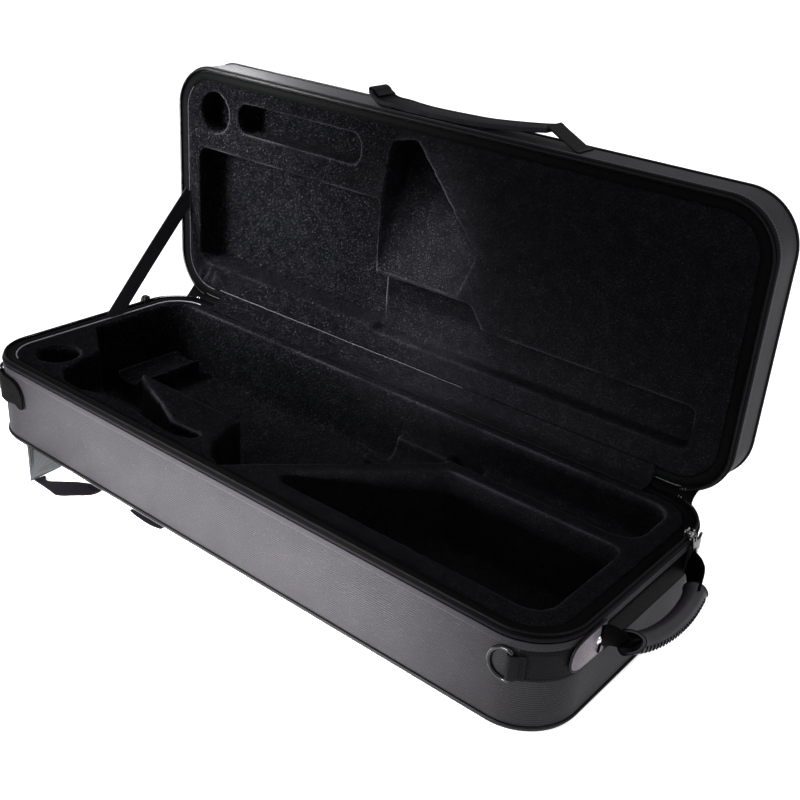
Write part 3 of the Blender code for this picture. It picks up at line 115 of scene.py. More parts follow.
class Graph:
    """Adds nodes to one tree and wires them."""

    def __init__(self, tree: bpy.types.NodeTree) -> None:
        """Takes the tree to work in."""
        self.tree = tree

    def add(self, kind: str, *inputs: object, **settings: object) -> bpy.types.Node:
        """Adds a node.

        Args:
            kind: The node's type.
            inputs: Sockets or values for its inputs, in order, with None to skip one.
            settings: Attributes to set on the node first.

        Returns:
            The new node.
        """
        node = self.tree.nodes.new(kind)
        for name, value in settings.items():
            setattr(node, name, value)
        usable = [s for s in node.inputs if s.enabled]
        for socket, value in zip(usable, inputs):
            self.feed(socket, value)
        return node

    def feed(self, socket: Socket, value: object) -> None:
        """Fills an input.

        Args:
            socket: The input.
            value: A socket to link it to, a value to give it, or None to leave it.
        """
        if isinstance(value, bpy.types.NodeSocket):
            self.tree.links.new(value, socket)
        elif value is not None:
            socket.default_value = value

    def maths(self, operation: str, *values: object) -> Socket:
        """A Math node's result, such as DIVIDE or SINE."""
        return self.add("ShaderNodeMath", *values, operation=operation).outputs[0]

    def times(self, first: object, second: object) -> Socket:
        """Two values multiplied."""
        return self.maths("MULTIPLY", first, second)

    def weigh(self, *parts: tuple[Socket, float]) -> Socket:
        """Adds values up by their weights.

        Args:
            parts: Each value with its weight.

        Returns:
            The weighted sum.
        """
        total, *others = [self.times(value, weight) for value, weight in parts]
        for other in others:
            total = self.maths("ADD", total, other)
        return total

    def blend(self, share: object, low: object, high: object) -> Socket:
        """Mixes two colours.

        Args:
            share: From 0 for the low colour to 1 for the high one.
            low: The first colour.
            high: The second colour.

        Returns:
            The mixed colour.
        """
        node = self.add("ShaderNodeMix", data_type="RGBA")
        for name, value in (("Factor", share), ("A", low), ("B", high)):
            socket = next(s for s in node.inputs if s.name == name and s.enabled)
            self.feed(socket, value)
        return next(s for s in node.outputs if s.enabled)

    def noise(self, place: object, scale: object, detail: float = 2.0) -> Socket:
        """Noise from 0 to 1.

        Args:
            place: Where to take it.
            scale: How many features fit in a metre.
            detail: How many finer layers it has.

        Returns:
            The noise.
        """
        node = self.add("ShaderNodeTexNoise")
        self.feed(node.inputs["Vector"], place)
        self.feed(node.inputs["Scale"], scale)
        node.inputs["Detail"].default_value = detail
        return node.outputs[0]

    def fit(self, value: object, low: float, high: float) -> Socket:
        """Stretches the range low to high over 0 to 1, and cuts it off there."""
        return self.add("ShaderNodeMapRange", value, low, high, 0.0, 1.0).outputs[0]

    def askew(self, place: Socket) -> Socket:
        """A place turned off the axes, for noise on flat cloth."""
        return self.add("ShaderNodeMapping", place, None, ASKEW).outputs[0]


@dataclass(frozen=True)
class Given:
    """What a pattern is drawn from.

    Attributes:
        place: Where on the surface, or the distances along and across a strap.
        across: Distance across the pattern's rows.
        pitch: From row to row, or the size of a tuft, cell or scuff.
        edge: Nearness to a worn edge or to a lip.
    """

    place: Socket
    across: Socket
    pitch: Socket
    edge: Socket


def pattern_group(pattern: Pattern) -> bpy.types.NodeTree:
    """The node group that draws a pattern, built when it is first asked for.

    Args:
        pattern: Which pattern to draw.

    Returns:
        A group with inputs Place, Across, Pitch and Edge, and outputs Shade and Height.
    """
    found = bpy.data.node_groups.get(pattern.value)
    if found:
        return found
    tree = bpy.data.node_groups.new(pattern.value, "ShaderNodeTree")
    inputs = (("Place", "Vector"), ("Across", "Float"), ("Pitch", "Float"), ("Edge", "Float"))
    for name, kind in inputs:
        tree.interface.new_socket(name=name, in_out="INPUT", socket_type=f"NodeSocket{kind}")
    for name in ("Shade", "Height"):
        tree.interface.new_socket(name=name, in_out="OUTPUT", socket_type="NodeSocketFloat")
    graph = Graph(tree)
    sockets = graph.add("NodeGroupInput").outputs
    drawers: dict[Pattern, Callable[[Graph, Given], Drawn]] = {
        Pattern.RIBS: draw_ribs,
        Pattern.PILE: draw_pile,
        Pattern.WEAVE: draw_weave,
        Pattern.GRAIN: draw_grain,
        Pattern.METAL: draw_metal,
    }
    shade, height = drawers[pattern](graph, Given(*[sockets[k] for k in range(len(inputs))]))
    graph.add("NodeGroupOutput", shade, height)
    return tree


def draw_ribs(graph: Graph, given: Given) -> Drawn:
    """Fine ribs, with thick and thin yarn along them and worn patches.

    Args:
        graph: The group's nodes.
        given: The group's inputs.

    Returns:
        The shade and the height.
    """
    place = graph.askew(given.place)
    turn = graph.times(graph.maths("DIVIDE", given.across, given.pitch), tau)
    rib = graph.fit(graph.maths("SINE", turn), -1.0, 1.0)
    yarn = graph.noise(place, 900.0, 3.0)
    slub = graph.fit(graph.noise(place, 420.0, 1.0), 0.66, 0.76)
    cloud = graph.noise(place, 26.0, 3.0)
    shade = graph.weigh((rib, 0.38), (yarn, 0.5), (slub, 0.45), (cloud, 0.22), (given.edge, 0.3))
    return shade, graph.weigh((rib, 0.75), (yarn, 0.4))


def draw_pile(graph: Graph, given: Given) -> Drawn:
    """Short velvet pile: brushed patches, fibres, pale lips partly painted as highlight, and specks
    that fade to the right as painted light falloff.

    Args:
        graph: The group's nodes.
        given: The group's inputs.

    Returns:
        The shade and the height.
    """
    # painted light falloff, 0 at the left and 1 at the right: specks fade away from the light
    # toward the right, and the dark tone there gets a small painted lift
    painted_light_falloff = graph.fit(graph.add("ShaderNodeSeparateXYZ", given.place).outputs[0], -0.14, 0.08)
    place = graph.askew(given.place)
    fine = graph.maths("DIVIDE", 1.0, given.pitch)
    fibre = graph.noise(place, fine, 4.0)
    patch = graph.noise(place, 60.0, 3.0)
    brushed = graph.times(graph.fit(fibre, 0.5, 0.72), graph.fit(patch, 0.25, 0.75))
    speck = graph.fit(graph.noise(place, graph.times(fine, 0.62), 0.0), 0.66, 0.78)
    speck = graph.times(speck, graph.maths("SUBTRACT", 1.0, graph.times(painted_light_falloff, 0.65)))
    # lip paleness: the pile opening at a lip, partly a painted highlight
    lip = graph.times(given.edge, graph.fit(fibre, 0.3, 0.6))
    shade = graph.weigh((brushed, 0.11), (speck, 0.12), (painted_light_falloff, 0.014), (lip, 1.4))
    return shade, graph.weigh((fibre, 1.0), (patch, 0.3))


def draw_weave(graph: Graph, given: Given) -> Drawn:
    """Webbing: rows of chevrons along a strap, with grooves between them.

    Args:
        graph: The group's nodes.
        given: The group's inputs.

    Returns:
        The shade and the height.
    """
    along = graph.add("ShaderNodeSeparateXYZ", given.place).outputs[0]
    row = graph.maths("DIVIDE", given.across, given.pitch)
    fold = graph.maths("PINGPONG", row, 1.0)
    slant = graph.weigh((graph.maths("DIVIDE", along, given.pitch), 1.0), (fold, 0.9))
    twill = graph.fit(graph.maths("SINE", graph.times(slant, tau)), -1.0, 1.0)
    groove = graph.fit(graph.maths("COSINE", graph.times(row, tau)), -1.0, -0.2)
    height = graph.weigh((twill, 0.6), (groove, 0.4))
    fuzz = graph.noise(given.place, 1500.0, 2.0)
    return graph.weigh((height, 0.5), (fuzz, 0.35), (given.edge, 0.4)), height


def draw_grain(graph: Graph, given: Given) -> Drawn:
    """Embossed leather grain: rounded cells with creases between them.

    Args:
        graph: The group's nodes.
        given: The group's inputs.

    Returns:
        The shade and the height.
    """
    cells = graph.add("ShaderNodeTexVoronoi", feature="SMOOTH_F1")
    graph.feed(cells.inputs["Vector"], given.place)
    graph.feed(cells.inputs["Scale"], graph.maths("DIVIDE", 1.0, given.pitch))
    cell = graph.fit(cells.outputs["Distance"], 0.75, 0.1)
    cloud = graph.noise(given.place, 60.0, 3.0)
    return graph.weigh((cell, 0.3), (cloud, 0.5), (given.edge, 0.4)), cell


def draw_metal(graph: Graph, given: Given) -> Drawn:
    """Cast metal with faint waviness and fine scuffs.

    Args:
        graph: The group's nodes.
        given: The group's inputs.

    Returns:
        The shade and the height.
    """
    scuff = graph.noise(given.place, graph.maths("DIVIDE", 1.0, given.pitch), 4.0)
    cloud = graph.noise(given.place, 120.0, 2.0)
    return graph.weigh((scuff, 0.6), (cloud, 0.3), (given.edge, 0.3)), scuff


@dataclass(frozen=True)
class Finish:
    """One material: a pattern between two colours, over a shader of its own values.

    Attributes:
        name: The material's name.
        slot: The record's material slot; not used.
        pattern: What shows from close by.
        dark: Colour at the pattern's bottom.
        light: Colour at the pattern's top.
        rough: Least and greatest roughness.
        pitch: Size of the pattern.
        relief: Depth of its bumps.
        rib_axis: Direction across the ribs, in the frame.
        on_cloth: Whether the pattern follows the piece's own length and width.
        sheen: Weight and roughness of the cloth's sheen.
        tint: Colour of the sheen.
        coat: Weight of a clear coat.
        coat_rough: Roughness of that coat.
        metallic: 1 for metal.
        gloss: Strength of its mirror-like light, 0.5 for a bare surface.
    """

    name: str
    slot: str
    pattern: Pattern
    dark: Colour
    light: Colour
    rough: Pair = (0.7, 0.85)
    pitch: float = 0.002
    relief: float = 0.0003
    rib_axis: Triple = (0.0, 0.0, 1.0)
    on_cloth: bool = False
    sheen: Pair = (0.0, 0.5)
    tint: Colour = (1.0, 1.0, 1.0, 1.0)
    coat: float = 0.0
    coat_rough: float = 0.25
    metallic: float = 0.0
    gloss: float = 0.5

    def material(self) -> bpy.types.Material:
        """Builds the finish when it is first asked for.

        Returns:
            The finish as a material.
        """
        found = bpy.data.materials.get(self.name)
        if found:
            return found
        made = bpy.data.materials.new(self.name)
        made.use_nodes = True
        graph = Graph(made.node_tree)
        shader = made.node_tree.nodes["Principled BSDF"]
        if self.on_cloth:
            place = graph.add("ShaderNodeAttribute", attribute_name="cloth").outputs["Vector"]
            across = graph.add("ShaderNodeSeparateXYZ", place).outputs[1]
        else:
            place = graph.add("ShaderNodeTexCoord").outputs["Object"]
            dot = graph.add(
                "ShaderNodeVectorMath", place, self.rib_axis, operation="DOT_PRODUCT"
            )
            across = dot.outputs["Value"]
        edge = graph.add("ShaderNodeAttribute", attribute_name="edge").outputs["Fac"]
        drawn = graph.add("ShaderNodeGroup", node_tree=pattern_group(self.pattern))
        for socket, value in zip(drawn.inputs, (place, across, self.pitch, edge)):
            graph.feed(socket, value)
        shade, height = drawn.outputs
        graph.feed(shader.inputs["Base Color"], graph.blend(shade, self.dark, self.light))
        rough = graph.add("ShaderNodeMapRange", shade, 0.0, 1.0, self.rough[1], self.rough[0])
        graph.feed(shader.inputs["Roughness"], rough.outputs[0])
        bump = graph.add("ShaderNodeBump")
        bump.inputs["Strength"].default_value = 1.0
        bump.inputs["Distance"].default_value = self.relief
        graph.feed(bump.inputs["Height"], height)
        graph.feed(shader.inputs["Normal"], bump.outputs[0])
        plain = {
            "Metallic": self.metallic,
            "Specular IOR Level": self.gloss,
            "Sheen Weight": self.sheen[0],
            "Sheen Roughness": self.sheen[1],
            "Sheen Tint": self.tint,
            "Coat Weight": self.coat,
            "Coat Roughness": self.coat_rough,
        }
        for name, value in plain.items():
            shader.inputs[name].default_value = value
        made.diffuse_color = self.light
        return made


def grey(level: float, warm: float = 0.0) -> Colour:
    """A grey of a given level, a little red where warm is above zero, and blue where below."""
    return (level * (1.0 + warm), level, level * (1.0 - warm), 1.0)


RIBBED = Finish(
    "ribbed nylon", "ribbed_nylon", Pattern.RIBS, grey(0.0025, -0.02),
    (0.0276, 0.0262, 0.0290, 1.0), rough=(0.5, 0.72), pitch=0.0026, relief=0.00025,
    sheen=(0.04, 0.35), tint=(0.85, 0.88, 1.0, 1.0), gloss=0.06,
)
LID_RIBBED = replace(RIBBED, name="ribbed nylon of the lid", rib_axis=(0.0, 1.0, 0.0))
PANEL_RIBBED = replace(RIBBED, name="ribbed nylon of the underside", rib_axis=(0.0, 1.0, 0.0))
TOP_RIBBED = replace(RIBBED, name="ribbed nylon of the lid top")
BINDING = Finish(
    "binding tape", "ribbed_nylon", Pattern.WEAVE, (0.003, 0.0028, 0.0034, 1.0),
    (0.034, 0.0325, 0.037, 1.0), rough=(0.5, 0.7), pitch=0.0016, relief=0.00015, on_cloth=True,
    sheen=(0.03, 0.3), gloss=0.06,
)
WEBBING = Finish(
    "black webbing", "black_webbing", Pattern.WEAVE, (0.0009, 0.0008, 0.0012, 1.0),
    (0.005, 0.0043, 0.006, 1.0), rough=(0.42, 0.7), pitch=0.0022, relief=0.0003, on_cloth=True,
    gloss=0.06,
)
DULL_WEBBING = replace(WEBBING, name="dull webbing", light=grey(0.0026, -0.06), gloss=0.01)
STAY = replace(WEBBING, name="stay webbing", light=(0.017, 0.0155, 0.019, 1.0))
LOOP = replace(WEBBING, name="loop webbing", light=(0.006, 0.0052, 0.0075, 1.0))
TAPE = replace(
    WEBBING, name="zip tape", dark=grey(0.0005), light=grey(0.0018, -0.1), pitch=0.0012,
    relief=0.0002, gloss=0.015,
)
# Near black: painted shade on the groove tape and the edge cord, standing in for dark grooves;
# plain black cloth on the gores and the grip tabs.
BLACK_CLOTH_AND_GROOVE_SHADE = replace(TAPE, name="groove tape", dark=grey(0.0002), light=grey(0.0012), gloss=0.01)
EDGING = replace(
    TAPE, name="edge tape", dark=(0.001, 0.0009, 0.0012, 1.0), light=(0.012, 0.0108, 0.0135, 1.0),
)
COIL = Finish(
    "zip coil", "black_webbing", Pattern.METAL, grey(0.001), grey(0.006, -0.04),
    rough=(0.35, 0.55), pitch=0.002, relief=0.00005, gloss=0.12,
)
PIPING = Finish(
    "piping", "black_webbing", Pattern.GRAIN, grey(0.0006), grey(0.003), rough=(0.3, 0.5),
    pitch=0.0012, relief=0.0001, gloss=0.12,
)
THREAD = Finish(
    "sewing thread", "ribbed_nylon", Pattern.METAL, (0.035, 0.034, 0.038, 1.0),
    (0.13, 0.125, 0.14, 1.0), rough=(0.4, 0.6), pitch=0.001, relief=0.00004, gloss=0.2,
)
GREY_THREAD = replace(THREAD, name="grey thread", dark=grey(0.015), light=grey(0.055), gloss=0.1)
BLACK_THREAD = replace(
    THREAD, name="black thread", dark=grey(0.0004), light=grey(0.0012), gloss=0.03
)
PLUSH = Finish(
    "black plush", "black_plush", Pattern.PILE, (0.0004, 0.0004, 0.0006, 1.0),
    (0.098, 0.095, 0.112, 1.0), rough=(0.85, 1.0), pitch=0.0011, relief=0.0009,
    sheen=(0.004, 0.4), tint=(0.8, 0.78, 0.95, 1.0), gloss=0.01,
)
# Painted highlight: a pale cord along the plush border where light catches the pile, on the left
# part of both rims and along the hinge.
SEAM_HIGHLIGHT = replace(
    PLUSH, name="lining seam highlight", dark=(0.02, 0.0195, 0.024, 1.0), light=(0.32, 0.31, 0.35, 1.0),
)
# Painted highlight, paler, for the base's rim.
PALE_SEAM_HIGHLIGHT = replace(
    SEAM_HIGHLIGHT, name="pale seam", dark=(0.12, 0.115, 0.13, 1.0), light=(0.5, 0.49, 0.53, 1.0),
)
BOARD = Finish(
    "foam board", "foam_board", Pattern.GRAIN, grey(0.01), grey(0.05), rough=(0.8, 0.95),
    pitch=0.003, relief=0.0002,
)
VINYL = Finish(
    "grained vinyl", "grained_vinyl", Pattern.GRAIN, (0.003, 0.0026, 0.0037, 1.0),
    (0.017, 0.0143, 0.020, 1.0), rough=(0.34, 0.55), pitch=0.0011, relief=0.00012, coat=0.04,
    gloss=0.25,
)
PATCH_VINYL = replace(
    VINYL, name="patch vinyl", dark=(0.022, 0.016, 0.022, 1.0), light=(0.17, 0.13, 0.17, 1.0),
    coat=0.25,
)
BLACK_VINYL = replace(
    VINYL, name="black vinyl", dark=grey(0.0006), light=grey(0.003), rough=(0.65, 0.9), coat=0.0,
    gloss=0.03,
)
HANDLE_VINYL = replace(
    BLACK_VINYL, name="handle vinyl", light=(0.015, 0.0135, 0.017, 1.0), gloss=0.05,
)
NICKEL = Finish(
    "nickel", "nickel", Pattern.METAL, grey(0.38, -0.02), grey(0.75, -0.02), rough=(0.12, 0.3),
    pitch=0.003, relief=0.00003, metallic=1.0,
)
BLACK_METAL = Finish(
    "black metal", "black_metal", Pattern.METAL, grey(0.0015), grey(0.006), rough=(0.08, 0.16),
    pitch=0.004, relief=0.00003, coat=0.12, gloss=0.25,
)
GUN_METAL = replace(
    NICKEL, name="gun metal", dark=grey(0.04), light=grey(0.16), rough=(0.18, 0.35),
)
STRAP_CLOTH = Finish(
    "strap cloth", "strap_nylon", Pattern.WEAVE, grey(0.012, -0.08), grey(0.05, -0.1),
    rough=(0.5, 0.75), pitch=0.0013, relief=0.00015, on_cloth=True, sheen=(0.3, 0.3),
)


def put_in_scene(name: str, data: bpy.types.ID) -> Piece:
    """Makes an object and links it to the scene.

    Args:
        name: The object's name.
        data: Its mesh, light or camera.

    Returns:
        The object.
    """
    made = bpy.data.objects.new(name, data)
    bpy.context.scene.collection.objects.link(made)
    return made


class Sketch:
    """The vertices, faces and cloth coordinates of one piece while it is drawn."""

    def __init__(self) -> None:
        """Starts empty."""
        self.places: list[Vector] = []
        self.faces: list[tuple[int, ...]] = []
        self.cloth: list[Pair] = []

    def skin(
        self,
        sections: list[list[Vector]],
        along: list[float],
        across: list[float],
        ring: bool = False,
        open_profile: bool = False,
    ) -> Sketch:
        """Stretches a skin over sections that each have the same number of points.

        Args:
            sections: The sections, in order.
            along: Each section's distance along the piece.
            across: Each point's distance across the piece.
            ring: Whether the last section joins the first.
            open_profile: Whether each section is an open line, whose two ends are closed by
                flat faces over the whole ring.

        Returns:
            This sketch.
        """
        start = len(self.places)
        count = len(sections[0])
        for section, distance in zip(sections, along):
            self.places += section
            self.cloth += [(distance, side) for side in across]
        rows = len(sections)
        columns = count - 1 if open_profile else count
        for row in range(rows if ring else rows - 1):
            here = start + row * count
            ahead = start + ((row + 1) % rows) * count
            for column in range(columns):
                side = (column + 1) % count
                self.faces.append((here + column, here + side, ahead + side, ahead + column))
        if open_profile:
            self.faces.append(tuple(start + row * count for row in range(rows)))
            self.faces.append(tuple(start + row * count + count - 1 for row in range(rows)))
        elif not ring:
            self.faces.append(tuple(range(start, start + count)))
            last = start + (rows - 1) * count
            self.faces.append(tuple(range(last, last + count)))
        return self

    def bead(self, centre: Vector, long: Vector, wide: Vector, tall: Vector) -> None:
        """Adds one small rounded bead, such as a stitch or a tooth.

        Args:
            centre: Its middle.
            long: Half its length.
            wide: Half its width.
            tall: Half its height.
        """
        sides, shoulder = 6, 0.62
        start = len(self.places)
        for step in (-shoulder, shoulder):
            for turn in (tau * k / sides for k in range(sides)):
                self.places.append(centre + long * step + (wide * cos(turn) + tall * sin(turn)))
        self.places += [centre - long, centre + long]
        self.cloth += [(0.0, 0.0)] * (2 * sides + 2)
        near_tip, far_tip = start + 2 * sides, start + 2 * sides + 1
        for number in range(sides):
            low, high = start + number, start + (number + 1) % sides
            self.faces.append((low, high, high + sides, low + sides))
            self.faces.append((high, low, near_tip))
            self.faces.append((low + sides, high + sides, far_tip))

    def place(
        self, name: str, body: Body, finish: Finish, *nodes: str, sharp: float = 42.0
    ) -> Piece:
        """Makes the object and settles it on a body, in place of some nodes."""
        return settle(self.build(name, finish, sharp), body, finish, *nodes)

    def build(self, name: str, finish: Finish, sharp: float = 42.0) -> Piece:
        """Makes the object.

        Args:
            name: The piece's name.
            finish: Its material.
            sharp: Angle in degrees above which an edge stays crisp.

        Returns:
            The new object, in the scene.
        """
        mesh = bpy.data.meshes.new(name)
        mesh.from_pydata(self.places, [], self.faces)
        flow = mesh.attributes.new("cloth", "FLOAT_VECTOR", "POINT")
        flat = np.zeros((len(self.places), 3), np.float32)
        flat[:, :2] = np.array(self.cloth, np.float32)
        flow.data.foreach_set("vector", flat.ravel())
        bm = bmesh.new()
        bm.from_mesh(mesh)
        bmesh.ops.recalc_face_normals(bm, faces=bm.faces)
        bm.to_mesh(mesh)
        bm.free()
        mesh.shade_smooth()
        mesh.set_sharp_from_angle(angle=radians(sharp))
        mesh.materials.append(finish.material())
        return put_in_scene(name, mesh)


def coat(mesh: bpy.types.Mesh, finish: Finish) -> None:
    """Gives a mesh one finish in place of what it has."""
    mesh.materials.clear()
    mesh.materials.append(finish.material())


def settle(piece: Piece, body: Body, finish: Finish, *nodes: str) -> Piece:
    """Makes a finished piece ride on a body in place of some nodes."""
    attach(piece, body.value)
    return enlist(piece, finish, *nodes)


def bridge(
    piece: Piece, finish: Finish, ends: tuple[Body, Body], start: Vector, end: Vector, *nodes: str
) -> Piece:
    """Bakes a finished piece's place into its mesh, hides the nodes that it replaces and reports
    it.
    """
    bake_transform(piece)
    return enlist(piece, finish, *nodes)


def enlist(piece: Piece, finish: Finish, *nodes: str) -> Piece:
    """Hides the nodes that a piece replaces, and reports it.

    Args:
        piece: The piece.
        finish: Its material, which names the record's slot; not used.
        nodes: The nodes that it stands for.

    Returns:
        The same piece.
    """
    if nodes:
        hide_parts(*nodes)
    LOG.info("%s: %d faces", piece.name, len(piece.data.polygons))
    return piece


def circle(centre: Pair, radius: float, sides: int = 8) -> list[Pair]:
    """Points round a circle in a plane."""
    turns = [tau * k / sides for k in range(sides)]
    return [(centre[0] + radius * cos(t), centre[1] + radius * sin(t)) for t in turns]


def arc(centre: Pair, radius: float, start: float, end: float, steps: int) -> list[Pair]:
    """Points of an arc in a plane, with both its ends."""
    turns = [start + (end - start) * k / steps for k in range(steps + 1)]
    return [(centre[0] + radius * cos(t), centre[1] + radius * sin(t)) for t in turns]


def rounded(points: list[Pair], radii: list[float], steps: int = 6) -> list[Pair]:
    """A polygon with rounded corners.

    Args:
        points: The corners, in order.
        radii: A radius for each corner.
        steps: Steps in each rounding.

    Returns:
        The outline.
    """
    outline: list[Pair] = []
    for index, (corner, radius) in enumerate(zip(points, radii)):
        here = Vector(corner)
        back = (Vector(points[index - 1]) - here).normalized()
        ahead = (Vector(points[(index + 1) % len(points)]) - here).normalized()
        half = back.angle(ahead) / 2
        reach = radius / max(sin(half) / cos(half), 0.001)
        for step in range(steps + 1):
            share = step / steps
            first = here + back * reach * (1 - share)
            second = here + ahead * reach * share
            spot = first.lerp(second, share)
            outline.append((spot.x, spot.y))
    return outline


def spline(points: list[Vector], count: int) -> list[Vector]:
    """A smooth line through points.

    Args:
        points: What the line passes through.
        count: How many points to return.

    Returns:
        Points spread evenly over the spans.
    """
    ends = [points[0] * 2 - points[1], *points, points[-1] * 2 - points[-2]]
    spans = len(points) - 1
    line = []
    for number in range(count):
        place = number * spans / (count - 1)
        span = min(int(place), spans - 1)
        t = place - span
        a, b, c, d = ends[span : span + 4]
        line.append(
            b + (c - a) * (t / 2) + (a * 2 - b * 5 + c * 4 - d) * (t * t / 2)
            + (b * 3 - a - c * 3 + d) * (t**3 / 2)
        )
    return line


def lengths(line: list[Vector]) -> list[float]:
    """Measures a line.

    Args:
        line: Its points.

    Returns:
        The distance along it at each of its points.
    """
    found = [0.0]
    for back, here in zip(line, line[1:]):
        found.append(found[-1] + (here - back).length)
    return found


def tangents(line: list[Vector], ring: bool = False) -> list[Vector]:
    """Finds which way a line runs.

    Args:
        line: Its points.
        ring: Whether it closes on itself.

    Returns:
        Its direction at each of its points.
    """
    count = len(line)
    found = []
    for index in range(count):
        back = index - 1 if ring or index else 0
        ahead = (index + 1) % count if ring or index + 1 < count else index
        found.append((line[ahead] - line[back]).normalized())
    return found


def strap_profile(width: float, thick: float, steps: int = 8) -> list[Pair]:
    """The section of a flat strap with rounded selvedges.

    Args:
        width: From selvedge to selvedge.
        thick: Its thickness.
        steps: Steps over each of its faces.

    Returns:
        The section, as (across, through).
    """
    reach = width / 2 - thick / 2
    lift = thick / 2
    top = [(reach - 2 * reach * k / steps, lift) for k in range(steps + 1)]
    low = [(-x, -z) for x, z in top]
    right = [(reach + lift * cos(t), lift * sin(t)) for t in (-pi / 4, 0.0, pi / 4)]
    left = [(-x, -z) for x, z in right]
    return [*right, *top, *left, *low]


def strap(
    line: list[Vector],
    side: Callable[[int], Vector],
    widths: list[float],
    thick: float,
    sketch: Sketch | None = None,
) -> Sketch:
    """A flat strap along a line.

    Args:
        line: Its middle line.
        side: The direction across it at each point.
        widths: Its width at each point.
        thick: Its thickness.
        sketch: What to draw into, or None for a new one.

    Returns:
        The sketch.
    """
    sketch = sketch or Sketch()
    sections = []
    for index, (here, tangent) in enumerate(zip(line, tangents(line))):
        across = side(index).normalized()
        across = (across - tangent * across.dot(tangent)).normalized()
        through = tangent.cross(across)
        profile = strap_profile(widths[index], thick)
        sections.append([here + across * a + through * t for a, t in profile])
    across_marks = [a for a, _ in strap_profile(widths[len(line) // 2], thick)]
    return sketch.skin(sections, lengths(line), across_marks)


def tube(
    line: list[Vector], radius: Callable[[float], float], sides: int = 10, ring: bool = False
) -> Sketch:
    """A round tube or cord along a line.

    Args:
        line: Its middle line.
        radius: Its radius at a share of its length from 0 to 1.
        sides: How many sides its section has.
        ring: Whether it closes on itself.

    Returns:
        The sketch.
    """
    sections = []
    normal = (line[1] - line[0]).orthogonal().normalized()
    turns = [tau * k / sides for k in range(sides)]
    for index, (here, tangent) in enumerate(zip(line, tangents(line, ring))):
        normal = (normal - tangent * normal.dot(tangent)).normalized()
        across = tangent.cross(normal)
        size = radius(index / (len(line) - 1))
        sections.append([here + (normal * cos(t) + across * sin(t)) * size for t in turns])
    marks = [k / sides * 0.01 for k in range(sides)]
    return Sketch().skin(sections, lengths(line), marks, ring=ring)


def stitches(
    sketch: Sketch, line: list[Vector], facing: list[Vector], pitch: float, size: Triple
) -> Sketch:
    """Adds a row of beads along a line.

    Args:
        sketch: What to draw into.
        line: The row's line.
        facing: The surface's outward direction at each point.
        pitch: From bead to bead.
        size: Half a bead's length along the line, width across it and height off the surface.

    Returns:
        The sketch.
    """
    marks = lengths(line)
    total = marks[-1]
    count = max(int(total / pitch), 1)
    index = 0
    for number in range(count):
        distance = (number + 0.5) * total / count
        while index + 2 < len(marks) and marks[index + 1] < distance:
            index += 1
        share = (distance - marks[index]) / max(marks[index + 1] - marks[index], 1e-9)
        centre = line[index].lerp(line[index + 1], share)
        out = facing[index].lerp(facing[index + 1], share).normalized()
        along = (line[index + 1] - line[index]).normalized()
        across = along.cross(out).normalized()
        sketch.bead(centre, along * size[0], across * size[1], out * size[2])
    return sketch


